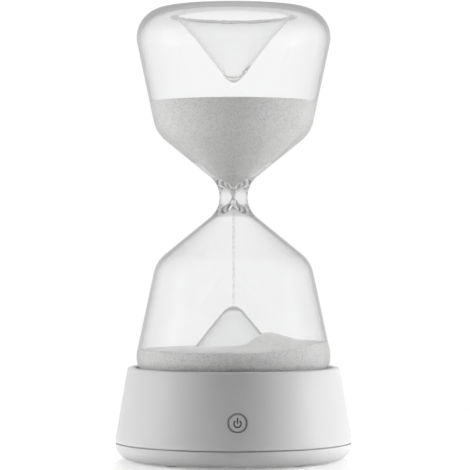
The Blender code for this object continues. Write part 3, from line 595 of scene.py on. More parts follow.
def bulb_corners(inset, crest_inset, depth, tip_radius):
    """Corners of one bulb after the insets, the angles of its dent and cone, and its outer neck corner."""
    mouth = Vector((CREST_RADIUS - MOUTH_INSET, HALF_LENGTH))
    reach = SHOULDER_RADIUS * (1 + math.sin(SIDE_TAPER)) / math.cos(SIDE_TAPER)
    shoulder = Vector((CREST_RADIUS + reach, HALF_LENGTH))
    knee = Vector((shoulder.x - (HALF_LENGTH - KNEE_HEIGHT) * math.tan(SIDE_TAPER), KNEE_HEIGHT))
    dent = touching_angle(mouth.x, depth - tip_radius, tip_radius, -1)
    cone = touching_angle(knee.x - NECK_RADIUS - NECK_FILLET, knee.y, NECK_FILLET, 1)
    neck = (NECK_RADIUS + NECK_FILLET - NECK_FILLET / math.cos(cone), 0.0, NECK_FILLET)
    up = Vector((0, 1))
    side_out = Vector((math.cos(SIDE_TAPER), -math.sin(SIDE_TAPER)))
    cone_out = Vector((math.cos(cone), -math.sin(cone)))
    dent_out = Vector((-math.cos(dent), math.sin(dent)))
    mouth = moved_in(mouth, up, crest_inset, dent_out, inset * DENT_WALL / GLASS_WALL)
    shoulder = moved_in(shoulder, up, crest_inset, side_out, inset)
    knee = moved_in(knee, side_out, inset, cone_out, inset)
    corners = [(*mouth, MOUTH_RADIUS - crest_inset), (*shoulder, SHOULDER_RADIUS - (inset + crest_inset) / 2),
               (*knee, KNEE_RADIUS - inset)]
    return corners, dent, cone, neck


def dent_tip(inset, depth, tip_radius, dent, steps=14):
    """Round tip of a dent, from the axis out to the dent's cone."""
    radius = tip_radius + inset * DENT_WALL / GLASS_WALL
    centre = HALF_LENGTH - depth + tip_radius
    angles = [(math.pi / 2 - dent) * k / steps for k in range(steps + 1)]
    return [(radius * math.sin(a), centre - radius * math.cos(a)) for a in angles]


def funnel(widen, knee, cone):
    """Corner where a straight funnel meets the inner side of the cone."""
    start = BORE_RADIUS + widen
    axis = knee[0] - knee[1] * math.tan(cone)
    z = (start - axis) / (math.tan(cone) - math.tan(FUNNEL_ANGLE))
    return (start + z * math.tan(FUNNEL_ANGLE), z, FUNNEL_ROUND)


def bowed(outline):
    """The lower dent, from its crest to its tip, with flanks that bow out a little."""
    points = divided(outline, 0.0014)
    tip = points[-1].y
    deep = tip - points[0].y
    return [p + Vector((LOWER_BOW * math.sin(math.pi * (tip - p.y) / deep), 0)) for p in points]


def glass_line(inset, crest_inset, widen=None):
    """One surface of the double bulb, from tip to tip of its dents. The inner one has the funnels."""
    upper, upper_dent, cone, neck = bulb_corners(inset, crest_inset, UPPER_DENT, UPPER_TIP_RADIUS)
    lower, lower_dent, cone, neck = bulb_corners(inset, crest_inset, LOWER_DENT, LOWER_TIP_RADIUS)
    upper_tip = dent_tip(inset, UPPER_DENT, UPPER_TIP_RADIUS, upper_dent)
    lower_tip = [(r, -z) for r, z in dent_tip(inset, LOWER_DENT, LOWER_TIP_RADIUS, lower_dent)]
    below = [(r, -z, fillet) for r, z, fillet in lower]
    narrow = [neck]
    if widen is not None:
        r, z, fillet = funnel(widen, upper[-1], cone)
        narrow = [(r, z, fillet), (BORE_RADIUS + widen, 0.0, BORE_ROUND), (r, -z, fillet)]
    body = rounded([(*upper_tip[-1], 0), *upper, *narrow, *below[::-1], (*lower_tip[-1], 0)])
    whole = [Vector(p) for p in upper_tip[:-1]] + body + [Vector(p) for p in lower_tip[-2::-1]]
    crest = min(range(len(whole)), key=lambda k: whole[k].y)
    whole[crest:] = bowed(whole[crest:])
    return [Vector((p.x, p.y + NECK_Z)) for p in whole]


print("neck at", round(1000 * NECK_Z, 2), "mm")

# %% Clear glass
DUST_FROM = 0.065
DUST_TO = 0.150
clear_glass, tree, shader = new_material("clear_glass")
feed(1.0, shader["Transmission Weight"])
feed(1.47, shader["IOR"])
feed(0.0, shader["Roughness"])
group = place_uneven(tree, 28.0, 55.0)
spot = object_place(tree)
up = apart(spot)[2]
tint = ramp(group["Mottle"], (0.0, (0.993, 0.996, 0.996)), (1.0, (1.0, 1.0, 1.0)))
dusty = tinted(tint, ranged(up, 0.980, 1.0, DUST_FROM, DUST_TO))
print("clear, and a little dusty in the lower bulb")

# %% Clear glass: painted shade on the edges
DENTS_BEYOND = 0.040
DENT_SHARE = 0.80
PAINTED_EDGE_SHADE_STEPS = ((0.52, 1.0), (0.64, 0.92), (0.74, 0.78), (0.84, 0.65), (0.95, 0.60))
path, straight = ray_path(tree)
within = reckon("LESS_THAN", from_axis(spot), CREST_RADIUS - 0.0010)
end = reckon("ABSOLUTE", reckon("SUBTRACT", up, NECK_Z))
on_dent = times(within, reckon("GREATER_THAN", end, DENTS_BEYOND))
looked_at = times(times(on_dent, DENT_SHARE), straight)
shows = reckon("MAXIMUM", path["Is Camera Ray"], looked_at)
# Painted shade: the glass colour darkens towards its edges by the angle of view, more on the flanks of the
# neck, and on the dents also where they are seen through the outer wall.
waist = ranged(end, 1.45, 1.0, 0.004, 0.014, "SMOOTHSTEP")
painted_shade_amount = times(tree.nodes.new("ShaderNodeLayerWeight").outputs["Facing"], waist)
painted_edge_shade = ramp(times(painted_shade_amount, shows), *((place, (level,) * 3) for place, level in PAINTED_EDGE_SHADE_STEPS))
feed(tinted(dusty, painted_edge_shade), shader["Base Color"])
print("edge steps", PAINTED_EDGE_SHADE_STEPS)

# %% Clear glass: waves, depth and trapped light
feed(reckon("LESS_THAN", path["Glossy Depth"], 2.5), shader["Alpha"])
feed(bumped(group["Relief"], 0.06, 0.002), shader["Normal"])
deep = tree.nodes.new("ShaderNodeVolumeAbsorption")
feed((0.0, 0.0, 0.0, 1.0), deep.inputs["Color"])
feed(14.0, deep.inputs["Density"])
feed(deep.outputs["Volume"], tree.nodes["Material Output"].inputs["Volume"])
print("finish", clear_glass.name)

# %% Blown glass
DENT_REACH = 0.0100
TIP_REACH = 0.0032
UPPER_TIP_WALL = 0.0010
LOWER_TIP_WALL = 0.0005


def nearness(place, middle, reach):
    """1 in the middle, falling to 0 round it."""
    return math.exp(-((place - middle).length / reach) ** 2)


def blown_skin(name, outline):
    """One skin of the glass, in edit mode, with finer steps near the upper dent's tip, where the lump is."""
    made = start_point(name)
    steps = divided(outline, 0.003)
    beside = next(k for k, p in enumerate(steps) if p.x > DENT_REACH)
    draw(divided(steps[:beside + 1], 0.0004) + steps[beside + 1:])
    spin()
    return made


glass = blown_skin("blown_glass", glass_line(GLASS_WALL, CREST_WALL, 0.0))
bpy.ops.mesh.flip_normals()
edit_done()
upper_tip = Vector((0, 0, NECK_Z + HALF_LENGTH - UPPER_DENT - DENT_WALL))
lower_tip = Vector((0, 0, NECK_Z - HALF_LENGTH + LOWER_DENT + DENT_WALL))
for vertex in glass.data.vertices:
    for tip, more in ((upper_tip, -UPPER_TIP_WALL), (lower_tip, LOWER_TIP_WALL)):
        vertex.co.z += more * nearness(vertex.co, tip, TIP_REACH)
outer_skin = blown_skin("outer_skin", glass_line(0.0, 0.0))
edit_done()
pick(outer_skin, glass)
bpy.ops.object.join()
print(glass.name, len(glass.data.polygons), "faces, tips thickened")

# %% Fused lump where the glass was filled
LUMP = 0.0008
LUMP_REACH = 0.0015
lump_place = Vector((0.0040, 0.0, upper_tip.z + 0.0042))
pushes = [LUMP * nearness(v.co, lump_place, LUMP_REACH) for v in glass.data.vertices]
directions = [v.normal.copy() for v in glass.data.vertices]
for vertex, push, direction in zip(glass.data.vertices, pushes, directions):
    vertex.co += push * direction
pick(glass)
bpy.ops.object.shade_smooth()
settle(glass, "hourglass", clear_glass, "clear_glass", "glass_bulb", "upper_cup", "lower_cup", "fill_seal")
print("lump", round(1000 * max(pushes), 2), "mm thick")

# %% [markdown]
# ## Sand
# Fine white sand is a heap of grains about a quarter of a millimetre wide. The body of each heap follows
# the inside of the glass and is pressed a hair into it, because a film of air between the two would
# mirror the room. Only just above the neck, where the sand runs, a film of air is left on purpose, so the
# thick glass shows its streaks. The grains are a cell pattern that drives colour, gloss and bump, and the
# top of the lower heap is a real surface with a mound where the sand last slid down. Sand lets some light
# seep through, so the face in the dent's hollow, which no lamp reaches, gets a faint painted glow that
# stands in for that light.

# %% White sand
GRAIN_SCALE = 2600.0
GRAIN_SHADES = ((0.0, (0.70, 0.70, 0.69)), (0.35, (0.85, 0.85, 0.84)), (1.0, (0.93, 0.93, 0.92)))
white_sand, tree, shader = new_material("white_sand")
feed(0.15, shader["Specular IOR Level"])
spot = object_place(tree)
grains = tree.nodes.new("ShaderNodeTexVoronoi")
feed(GRAIN_SCALE, grains.inputs["Scale"])
feed(spot, grains.inputs["Vector"])
split = tree.nodes.new("ShaderNodeSeparateColor")
feed(grains.outputs["Color"], split.inputs["Color"])
feed(ramp(split.outputs["Red"], *GRAIN_SHADES), shader["Base Color"])
feed(ranged(split.outputs["Green"], 0.55, 0.95), shader["Roughness"])
feed(bumped(grains.outputs["Distance"], 0.4, 0.0002, invert=True), shader["Normal"])
print("finish", white_sand.name)

# %% Upper sand
SAND_PRESS = 0.00008
sand_bed = glass_line(GLASS_WALL - SAND_PRESS, CREST_WALL - SAND_PRESS, SAND_PRESS)
UPPER_TOP = NECK_Z + HALF_LENGTH - UPPER_DENT - GLASS_WALL - 0.0083
UPPER_FOOT = NECK_Z - 0.0012
LOOSE_FILM = 0.0004
CRATER_RADIUS = 0.0130
CRATER_DEPTH = 0.0040
CRATER_EDGE = 0.0008
CRATER_STEPS = 12


def at_level(start, end, level):
    return start.lerp(end, (level - start.y) / (end.y - start.y))


def smooth(share):
    share = min(1.0, max(0.0, share))
    return share * share * (3 - 2 * share)


def loosened(point):
    """Just above the neck the sand runs, so a film of air parts it from the glass there."""
    above = point.y - NECK_Z
    film = LOOSE_FILM * smooth((0.016 - above) / 0.004) * smooth((above - 0.001) / 0.003)
    return Vector((point.x - film, point.y))


side = []
for start, end in zip(sand_bed, sand_bed[1:]):
    if start.x > CRATER_RADIUS and start.y > UPPER_TOP >= end.y:
        side.append(at_level(start, end, UPPER_TOP))
    if side and end.y > UPPER_FOOT:
        side.append(end)
    elif side:
        side.append(at_level(start, end, UPPER_FOOT))
        break
crater = []
for k in range(CRATER_STEPS + 1):
    out = k / CRATER_STEPS
    sunk = CRATER_EDGE + (CRATER_DEPTH - CRATER_EDGE) * (1 - out ** 1.4)
    crater.append(Vector((CRATER_RADIUS * out, UPPER_TOP - sunk)))
side = [loosened(point) for point in divided(side, 0.0008)]
upper_sand = turned("upper_sand", divided([*crater, *side, Vector((0, UPPER_FOOT))], 0.0015))
settle(upper_sand, "hourglass", white_sand, "white_sand", "sand_upper")

# %% Lower sand: the bed that the glass leaves
glass_foot = NECK_Z - HALF_LENGTH
LOWER_TOP = glass_foot + 0.0255
bed = []
for start, end in zip(sand_bed, sand_bed[1:]):
    if not bed and start.y > LOWER_TOP >= end.y:
        bed.append(at_level(start, end, LOWER_TOP))
    if bed:
        if len(bed) > 2 and start.y < LOWER_TOP <= end.y:
            bed.append(at_level(start, end, LOWER_TOP))
            break
        bed.append(end)
lower_sand = turned("lower_sand", divided(bed, 0.0015), closed=True)

# %% Lower sand: the heap's own top
HEAP_FOOT = 0.0152
HEAP_AT_DENT = 0.0020
HEAP_RIGHT = 0.0030
HEAP_RADIUS = 0.037
MOUND = 0.0054
MOUND_PLACE = Vector((0.0135, -0.0060))
MOUND_REACH = 0.0105
DIP = 0.0013
DIP_PLACE = Vector((-0.0062, 0.0134))
DIP_REACH = 0.0100


def heap_level(x, y):
    """Height of the sand above the foot of the glass."""
    level = HEAP_FOOT + HEAP_AT_DENT * (1 - math.hypot(x, y) / HEAP_RADIUS)
    level += HEAP_RIGHT * smooth((x - 0.008) / 0.028)
    level += MOUND * nearness(Vector((x, y)), MOUND_PLACE, MOUND_REACH)
    level -= DIP * nearness(Vector((x, y)), DIP_PLACE, DIP_REACH)
    level += 0.00025 * wander.noise(Vector((150 * x, 150 * y, 0)))
    return level + 0.00010 * wander.noise(Vector((420 * x, 420 * y, 3)))


bpy.ops.mesh.primitive_grid_add(x_subdivisions=90, y_subdivisions=90, size=0.09, location=(0, 0, 0))
heap = named("heap")
for vertex in heap.data.vertices:
    vertex.co.z = glass_foot + heap_level(vertex.co.x, vertex.co.y)
edit_all()
extrude((0, 0, -0.05))
bpy.ops.mesh.select_all(action="SELECT")
bpy.ops.mesh.normals_make_consistent(inside=False)
bpy.ops.mesh.quads_convert_to_tris()
edit_done()
combine(lower_sand, heap, "INTERSECT")
shade(30)
settle(lower_sand, "hourglass", white_sand, "white_sand", "sand_lower")
tell(lower_sand)

# %% Lower sand: a painted glow in the hollow of the dent, for light that seeps through
FLANK_LOW = glass_foot + 0.008
FLANK_HIGH = glass_foot + 0.016
PAINTED_GLOW_WITHIN = 0.0003


def flank_radius(level):
    """Radius at which the sand meets the flank of the dent."""
    crossing = [(s, e) for s, e in zip(bed, bed[1:]) if s.y < level <= e.y][-1]
    return at_level(*crossing, level).x


lean = (flank_radius(FLANK_HIGH) - flank_radius(FLANK_LOW)) / (FLANK_HIGH - FLANK_LOW)
straight_on = flank_radius(FLANK_HIGH) - lean * FLANK_HIGH
wall = reckon("MULTIPLY_ADD", apart(spot)[2], lean, straight_on)
gap = reckon("SUBTRACT", from_axis(spot), wall)
# Painted glow: sand within this gap of the dent's flank emits a faint light of its own, which stands in for
# light that seeps through the sand.
feed(reckon("LESS_THAN", gap, PAINTED_GLOW_WITHIN), shader["Emission Color"])
feed(0.28, shader["Emission Strength"])
print("the dent leans", round(math.degrees(math.atan(-lean)), 1), "degrees")

# %% [markdown]
# ## Falling thread of sand
# Sand runs through the bore in a thread about half a millimetre wide that looks faint, because grains fly
# apart as they fall. A solid rod would look like a wire. The thread gets a grain pattern in its alpha
# that lets the glass behind show.

# %% Falling sand
THREAD_RADIUS = 0.00055
falling = white_sand.copy()
falling.name = "falling_sand"
tree = falling.node_tree
shader = tree.nodes["Principled BSDF"].inputs
feed(0.0, shader["Emission Strength"])
split = next(n for n in tree.nodes if n.type == "SEPARATE_COLOR")
feed(ranged(split.outputs["Blue"], 0.0, 0.26, 0.20, 0.80), shader["Alpha"])
thread_foot = lower_tip.z + LOWER_TIP_WALL + 0.0001
thread_top = UPPER_FOOT - 0.00002
thread_line = ((0, thread_top), (THREAD_RADIUS * 0.6, thread_top), (THREAD_RADIUS, thread_top - 0.010),
               (THREAD_RADIUS, thread_foot), (0, thread_foot))
thread = turned("sand_thread", divided(thread_line, 0.002), steps=20)
settle(thread, "hourglass", falling, "white_sand", "sand_stream")

# %% [markdown]
# ## Casing
# The flared ring is moulded in one piece: outer wall, soft rim, seat for the glass and a shelf with a
# window for the light. It is one closed outline that is spun. Booleans then join posts and bosses to it
# and cut the button's hole and the socket's slot.

# %% Sizes of the base
BASE_RADIUS = 0.0480
RIM_RADIUS = 0.0429
SEAT_RADIUS = 0.0404
RIM_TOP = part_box("upper_casing")[1].z
SEAM = 0.0074
SEAM_GAP = 0.0004
CASING_FOOT = SEAM + SEAM_GAP
SHELF_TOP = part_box("diffuser")[1].z
SHELF_FOOT = SHELF_TOP - 0.0022
WINDOW_RADIUS = 0.0247
SKIRT_HEIGHT = 0.0092
SKIRT_ROUND = 0.0100
CASING_WALL = 0.0024
COVER_WALL = 0.0024
LIP = 0.0011
LIP_HEIGHT = 0.0022
FIT = 0.0003
SLOPE = (BASE_RADIUS - RIM_RADIUS) / (RIM_TOP - SKIRT_HEIGHT)
WALL_ACROSS = CASING_WALL * math.hypot(1, SLOPE)


def casing_radius(z):
    return BASE_RADIUS - (z - SKIRT_HEIGHT) * SLOPE


print("the casing leans", round(math.degrees(math.atan(SLOPE)), 1), "degrees")

# %% Casing
rebate = BASE_RADIUS - COVER_WALL + LIP + FIT
rebate_top = CASING_FOOT + LIP_HEIGHT + FIT
casing_line = rounded([
    (RIM_RADIUS, RIM_TOP, 0.0009),
    (BASE_RADIUS, SKIRT_HEIGHT, SKIRT_ROUND),
    (BASE_RADIUS, CASING_FOOT, 0.00025),
    (rebate, CASING_FOOT, 0),
    (rebate, rebate_top, 0),
    (casing_radius(rebate_top) - WALL_ACROSS, rebate_top, 0),
    (casing_radius(SHELF_FOOT) - WALL_ACROSS, SHELF_FOOT, 0.0006),
    (WINDOW_RADIUS, SHELF_FOOT, 0.0002),
    (WINDOW_RADIUS, SHELF_TOP, 0.0003),
    (SEAT_RADIUS, SHELF_TOP, 0.0020),
    (SEAT_RADIUS, RIM_TOP, 0.0005),
], closed=True)
casing = turned("flared_casing", divided(casing_line, 0.002), closed=True, steps=192)

# %% Posts and bosses under the shelf
POST_CIRCLE = 0.0330
POST_RADIUS = 0.0030
POST_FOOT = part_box("upper_casing")[0].z
POST_PILOT = 0.00135
LAMP_BOSS_RADIUS = 0.0026
LAMP_BOSS_FOOT = 0.0213
LAMP_PILOT = 0.0012
ANCHOR = (SHELF_FOOT + SHELF_TOP) / 2


def on_circle(degrees):
    angle = math.radians(degrees)
    return Vector((POST_CIRCLE * math.cos(angle), POST_CIRCLE * math.sin(angle)))


def tube_line(radius, hole, low, high, depth):
    """Outline of a round post with a blind hole in its lower end."""
    return rounded([(0, high, 0), (radius, high, 0), (radius, low, 0.0003),
                    (hole, low, 0.0002), (hole, depth, 0), (0, depth, 0)])


corners_at = [on_circle(degrees) for degrees in (45, 135, 225, 315)]
lamp_at = [on_circle(degrees) for degrees in (90, 210, 330)]
post_line = tube_line(POST_RADIUS, POST_PILOT, POST_FOOT, ANCHOR, POST_FOOT + 0.0068)
post = turned("cover_post", post_line, steps=48)
combine(casing, repeated(post, corners_at), "UNION")
lamp_line = tube_line(LAMP_BOSS_RADIUS, LAMP_PILOT, LAMP_BOSS_FOOT, ANCHOR, 0.0252)
boss = turned("lamp_boss", lamp_line, steps=48)
combine(casing, repeated(boss, lamp_at), "UNION")
print(casing.name, "has", len(corners_at), "posts and", len(lamp_at), "bosses")

# %% Button hole with a rounded edge
button_low, button_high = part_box("button_cap")
BUTTON_Z = (button_low.z + button_high.z) / 2
BUTTON_RADIUS = 0.00345
FACE_PROUD = 0.0003
FACE_Y = -(casing_radius(BUTTON_Z) + FACE_PROUD)
EDGE_ROUND = 0.0002


def wall_fall(x, z):
    """How far the casing's wall lies behind its point at the button's middle."""
    return casing_radius(BUTTON_Z) - math.sqrt(casing_radius(z) ** 2 - x ** 2)


def face_out(made, follow_depth):
    """Turn a piece made about Z so that its top faces -Y at the button, and fit it to the wall."""
    for vertex in made.data.vertices:
        x, y, depth = vertex.co
        z = BUTTON_Z + y
        fall = wall_fall(x, z) if depth > -follow_depth else 0.0
        vertex.co = (x, FACE_Y - depth + fall, z)
    return made


hole = BUTTON_RADIUS + FIT
wide = hole + EDGE_ROUND
deep = -FACE_PROUD - EDGE_ROUND
bend = [(wide - EDGE_ROUND * math.sin(a), deep + EDGE_ROUND * math.cos(a))
        for a in (math.radians(15 * k) for k in range(7))]
hole_line = [(0, 0.001), (wide, 0.001), *bend, (hole, -0.0047), (0, -0.0047)]
cutter = turned("button_hole", hole_line, steps=96)
combine(casing, face_out(cutter, 0.0025), "DIFFERENCE")
print("hole", round(2000 * hole, 2), "mm wide")

# %% Socket slot
usb_low, usb_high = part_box("usb_shell")
USB_Z = (usb_low.z + usb_high.z) / 2
USB_HALF = (usb_high.z - usb_low.z) / 2
USB_PULL = 0.00447 - USB_HALF
SLOT_NEAR = 0.0378
SLOT_FAR = 0.06


def lying_rod(name, radius, z, near, far, pull=0.0, steps=70):
    """A rod along Y; pull draws its halves apart into a slot shape."""
    bpy.ops.mesh.primitive_cylinder_add(vertices=steps, radius=radius, depth=far - near)
    made = named(name)
    edit_all()
    bpy.ops.transform.rotate(value=math.radians(90), orient_axis="X", center_override=(0, 0, 0))
    bpy.ops.transform.translate(value=(0, (near + far) / 2, z))
    edit_done()
    for vertex in made.data.vertices:
        vertex.co.x += math.copysign(pull, vertex.co.x)
    return made


slot = lying_rod("socket_slot", USB_HALF + FIT, USB_Z, SLOT_NEAR, SLOT_FAR, USB_PULL)
combine(casing, slot, "DIFFERENCE")
shade(30)
settle(casing, "base", white_plastic, "white_plastic", "upper_casing")
tell(casing)

# %% [markdown]
# ## Bottom pan and feet
# The pan closes the base from below. Its round edge continues the casing under a fine seam. Four soft
# feet sit in recesses and hide the screws. One foot is turned, and each corner gets a copy of it.

# %% Bottom pan
PAN_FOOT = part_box("bottom_cover")[0].z
PAN_ROUND = SEAM - 0.0002 - PAN_FOOT
floor_top = PAN_FOOT + COVER_WALL
inner = BASE_RADIUS - COVER_WALL
pan_line = rounded([
    (0, floor_top, 0),
    (inner, floor_top, PAN_ROUND - COVER_WALL),
    (inner, CASING_FOOT + LIP_HEIGHT, 0),
    (inner + LIP, CASING_FOOT + LIP_HEIGHT, 0.0002),
    (inner + LIP, SEAM, 0),
    (BASE_RADIUS, SEAM, 0.00015),
    (BASE_RADIUS, PAN_FOOT, PAN_ROUND - 0.0002),
    (0, PAN_FOOT, 0),
])
pan = turned("bottom_pan", divided(pan_line, 0.003), steps=192)
foot_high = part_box("foot_1")[1]
FOOT_RADIUS = 0.0050
BOSS_RADIUS = 0.0042
BOSS_TOP = floor_top + 0.0028
HEAD_RADIUS = 0.0023
HEAD_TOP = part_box("cover_screw_1")[0].z + 0.0016
BOSS_FOOT = PAN_FOOT + 0.0012
boss_line = rounded([(0, BOSS_FOOT, 0), (BOSS_RADIUS, BOSS_FOOT, 0), (BOSS_RADIUS, BOSS_TOP, 0.0003),
                     (0, BOSS_TOP, 0)])
combine(pan, repeated(turned("pan_boss", boss_line, steps=48), corners_at), "UNION")
way = ((0, -0.005), (FOOT_RADIUS + FIT, -0.005), (FOOT_RADIUS + FIT, foot_high.z + FIT),
       (HEAD_RADIUS + FIT, foot_high.z + FIT), (HEAD_RADIUS + FIT, HEAD_TOP + FIT),
       (POST_PILOT, HEAD_TOP + FIT), (POST_PILOT, BOSS_TOP + 0.005), (0, BOSS_TOP + 0.005))
combine(pan, repeated(turned("screw_way", way, steps=48), corners_at), "DIFFERENCE")
shade(30)
settle(pan, "base", white_plastic, "white_plastic", "bottom_cover")
tell(pan)

# %% Feet
foot_line = rounded([(0, foot_high.z, 0), (FOOT_RADIUS, foot_high.z, 0.0003), (FOOT_RADIUS, 0, 0.0005),
                     (0.0036, 0, 0.0002), (0.0033, 0.0003, 0.0002), (0, 0.0003, 0)])
first_foot = turned("first_foot", foot_line, steps=48)
for k, place in enumerate(corners_at, 1):
    foot = copied(first_foot, f"rubber_foot_{k}", place.x, place.y)
    settle(foot, "base", rubber, "grey_rubber", f"foot_{k}")
bpy.data.objects.remove(first_foot)

# %% [markdown]
# ## Push button
# The cap is round, but its face follows the flared wall, so a flat disc would stand out at one edge. It
# is turned flat about its own axis, and then each point of the face is pushed back by as much as the wall
# falls away there.

# %% Cap
FLANGE_Y = 0.0428
FLANGE_RADIUS = 0.0047
STEM_RADIUS = 0.0016
cap_length = button_high.y - FACE_Y
flange = -FACE_Y - FLANGE_Y
flange_back = -flange - 0.0012
cap_line = rounded([
    (0, 0, 0), (BUTTON_RADIUS, 0, 0.0003), (BUTTON_RADIUS, -flange, 0), (FLANGE_RADIUS, -flange, 0.0002),
    (FLANGE_RADIUS, flange_back, 0.0002), (STEM_RADIUS, flange_back, 0), (STEM_RADIUS, -cap_length, 0.0002),
    (0, -cap_length, 0),
])
cap = turned("push_button", divided(cap_line, 0.0006), steps=96)
face_out(cap, 0.0012)
settle(cap, "button", white_plastic, "white_plastic", "button_cap")

# %% Printed ring and power symbol
ink = new_finish("dark_grey_ink", *grey(0.060, 0.075), (0.5, 0.62), 900.0, 5200.0, 0.1)
INK_UP = 0.00002
INK_DOWN = -0.00004


def printed_band(name, inside, outside, sweep, drop=0.0, steps=64):
    """A thin band of ink, spun through part of a turn, with its opening upwards."""
    made = start_point(name)
    draw(((outside, INK_UP), (outside, INK_DOWN), (inside, INK_DOWN), (inside, INK_UP)), True)
    if sweep < math.tau:
        bpy.ops.mesh.edge_face_add()
    spin(steps, sweep)
    leave_edit(made)
    middle = sum((v.co for v in made.data.vertices), Vector()) / len(made.data.vertices)
    turn = Matrix.Rotation(-math.pi / 2 - math.atan2(middle.y, middle.x), 4, "Z")
    made.data.transform(Matrix.Translation((0, -drop, 0)) @ turn)
    return made


ring = printed_band("printed_ring", 0.00313, 0.00332, math.tau, steps=96)
arc = printed_band("power_arc", 0.00111, 0.00165, math.radians(286), drop=0.00024)
bar = block("power_bar", Vector((-0.00026, -0.00020, INK_DOWN)), Vector((0.00026, 0.00210, INK_UP)))
edit_all()
bpy.ops.mesh.subdivide(number_cuts=3)
leave_edit(bar)
for print_piece in (ring, arc, bar):
    settle(face_out(print_piece, 1.0), "button", ink, "white_plastic")
print("ring, arc and bar printed")

# %% [markdown]
# ## Seat
# With the glass lifted out, the seat shows a thin foam ring and an opal disc that spreads the light. The
# disc has a faint glow, which stands for the light that it gathers through the glass over more bounces
# than are traced. Both are turned with soft edges.

# %% Foam ring and opal disc
FOAM_WIDTH = 0.0080
low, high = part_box("seat_cushion")
foam_inside = high.x - FOAM_WIDTH
foam_line = rounded([(high.x, low.z, 0.0002), (high.x, high.z, 0.00035), (foam_inside, high.z, 0.00035),
                     (foam_inside, low.z, 0.0002)], closed=True)
cushion = turned("foam_ring", divided(foam_line, 0.001), closed=True, sharp=60)
settle(cushion, "base", foam, "white_foam", "seat_cushion")
low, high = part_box("diffuser")
step_top = low.z + 0.0011
disc_line = rounded([(0, SHELF_TOP, 0), (WINDOW_RADIUS - FIT, SHELF_TOP, 0.0004),
                     (WINDOW_RADIUS - FIT, step_top, 0), (high.x, step_top, 0.0002),
                     (high.x, low.z, 0.0003), (0, low.z, 0)])
disc = turned("opal_disc", divided(disc_line, 0.002))
settle(disc, "base", opal_with_painted_glow, "opal_plastic", "diffuser")

# %% [markdown]
# ## Charging socket
# The socket is a drawn steel sleeve with a plastic tongue that carries rows of gilded contacts. The
# sleeve is a slot-shaped rod whose end is inset and pushed in. The tongue grows out of its block by
# extrusion, and one contact is modelled and copied.

# %% Sleeve
steel = new_finish("bright_steel", *grey(0.56, 0.66), (0.22, 0.36), 500.0, 4200.0, 0.06, metallic=1.0)
black_plastic = new_finish("black_plastic", *grey(0.022, 0.034), (0.42, 0.58), 160.0, 4200.0, 0.14)
gold = new_finish("gilded_contact", (0.72, 0.50, 0.20), (0.84, 0.62, 0.28), (0.18, 0.32), 900.0, 5200.0, 0.05,
                  metallic=1.0)
SLEEVE_WALL = 0.0003
SLEEVE_BACK = 0.0006
sleeve = lying_rod("socket_sleeve", USB_HALF, USB_Z, usb_low.y, usb_high.y, USB_PULL)


def select_faces(made, way):
    """Go to edit mode with the faces selected that look that way."""
    pick(made)
    bpy.ops.object.mode_set(mode="EDIT")
    bpy.ops.mesh.select_mode(type="FACE")
    bpy.ops.mesh.select_all(action="DESELECT")
    edit_done()
    for face in made.data.polygons:
        face.select = face.normal.dot(way) > 0.99
    bpy.ops.object.mode_set(mode="EDIT")


def soften(made, width):
    """Round the sharp edges with a bevel that is applied at once."""
    pick(made)
    bpy.ops.object.modifier_add(type="BEVEL")
    step = made.modifiers[-1]
    step.width = width
    step.segments = 3
    step.limit_method = "ANGLE"
    step.angle_limit = math.radians(40)
    bpy.ops.object.modifier_apply(modifier=step.name)
    shade(40)


BACKWARDS = Vector((0, 1, 0))
select_faces(sleeve, BACKWARDS)
bpy.ops.mesh.inset(thickness=SLEEVE_WALL)
extrude((0, SLEEVE_BACK - (usb_high.y - usb_low.y), 0))
leave_edit(sleeve)
soften(sleeve, 0.00008)
settle(sleeve, "base", steel, "bright_steel", "usb_shell")

# %% Tongue
tongue_low, tongue_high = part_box("usb_tongue")
BLOCK_START = usb_low.y + SLEEVE_BACK + 0.0001
BLOCK_END = usb_low.y + 0.0020
TONGUE_THICK = 0.0007
tongue = block("socket_tongue", Vector((tongue_low.x, BLOCK_START, tongue_low.z)),
               Vector((tongue_high.x, BLOCK_END, tongue_high.z)))
select_faces(tongue, BACKWARDS)
extrude((0, 0, 0))
bpy.ops.transform.resize(value=(1, 1, TONGUE_THICK / (tongue_high.z - tongue_low.z)),
                         center_override=(0, BLOCK_END, USB_Z))
extrude((0, tongue_high.y - BLOCK_END, 0))
leave_edit(tongue)
soften(tongue, 0.00012)
settle(tongue, "base", black_plastic, "black_plastic", "usb_tongue")

# %% Contacts
CONTACT = Vector((0.00026, 0.0036, 0.00008))
CONTACT_PITCH = 0.0005
CONTACT_PROUD = 0.00003
first = Vector((0, BLOCK_END + 0.0002, USB_Z + TONGUE_THICK / 2 + CONTACT_PROUD - CONTACT.z))
half = Vector((CONTACT.x / 2, 0, 0))
contact = block("contact", first - half, first + CONTACT - half)
soften(contact, 0.00003)
upper_row = repeated(contact, [Vector(((k - 5.5) * CONTACT_PITCH, 0)) for k in range(12)])
lower_row = copied(upper_row, "lower_row", 0, 0)
for vertex in lower_row.data.vertices:
    vertex.co.z = 2 * USB_Z - vertex.co.z
lower_row.data.flip_normals()
pick(lower_row, upper_row)
bpy.ops.object.join()
upper_row.name = "socket_contacts"
settle(upper_row, "base", gold, "bright_steel")
tell(upper_row)

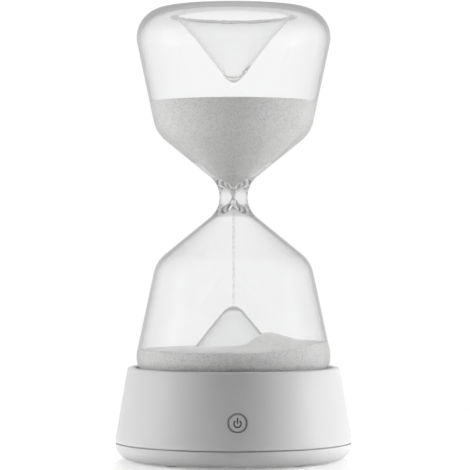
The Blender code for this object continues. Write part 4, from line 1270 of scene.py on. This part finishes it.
# %% [markdown]
# ## Inside the base
# A lamp like this holds a light box with a ring of lamps, a circuit board, a flat battery and their
# wires. Their CAD shapes are right, so they stay, and each gets a finish of its own by the material slot
# that the record names. Only the foam tape under the battery is soft, so it is modelled again with rolled
# edges.

# %% Finishes inside
inside = {finish.name: finish for finish in (white_plastic, steel, black_plastic)}
for name, *look in (
        ("white_board", *grey(0.74, 0.82), (0.32, 0.44), 220.0, 3200.0, 0.10),
        ("green_board", (0.020, 0.120, 0.050), (0.035, 0.190, 0.085), (0.28, 0.42), 260.0, 2600.0, 0.16),
        ("led_phosphor", (0.78, 0.60, 0.16), (0.90, 0.76, 0.30), (0.30, 0.45), 900.0, 6000.0, 0.12),
        ("grey_ferrite", *grey(0.09, 0.15), (0.62, 0.80), 700.0, 5200.0, 0.30),
        ("cream_plastic", (0.66, 0.61, 0.50), (0.74, 0.70, 0.60), (0.40, 0.55), 300.0, 4200.0, 0.12),
        ("grey_foam", *grey(0.34, 0.42), (0.85, 0.97), 500.0, 4200.0, 0.70),
        ("red_wire_cover", (0.42, 0.015, 0.015), (0.54, 0.030, 0.025), (0.26, 0.40), 400.0, 3600.0, 0.08),
        ("black_wire_cover", *grey(0.014, 0.026), (0.26, 0.40), 400.0, 3600.0, 0.08),
        ("silver_foil", *grey(0.52, 0.64), (0.30, 0.46), 130.0, 900.0, 0.22, 0.85)):
    inside[name] = new_finish(name, *look)
print("finishes inside", sorted(inside))

# %% Foam tape
tape = block("foam_tape", *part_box("battery_tape"))
soften(tape, 0.00022)
edit_all()
bpy.ops.mesh.subdivide(number_cuts=5)
leave_edit(tape)
settle(tape, "base", inside["grey_foam"], "grey_foam", "battery_tape")

# %% Finishes on the CAD nodes that stay
dressed = []
for part in frame["record"]["subparts"]:
    node = frame["nodes"][part["node"]]
    if part["material_slot"] in inside and not node.hide_render:
        node.data.materials.clear()
        node.data.materials.append(inside[part["material_slot"]])
        dressed.append(node.name)
print(len(dressed), "nodes dressed:", dressed)
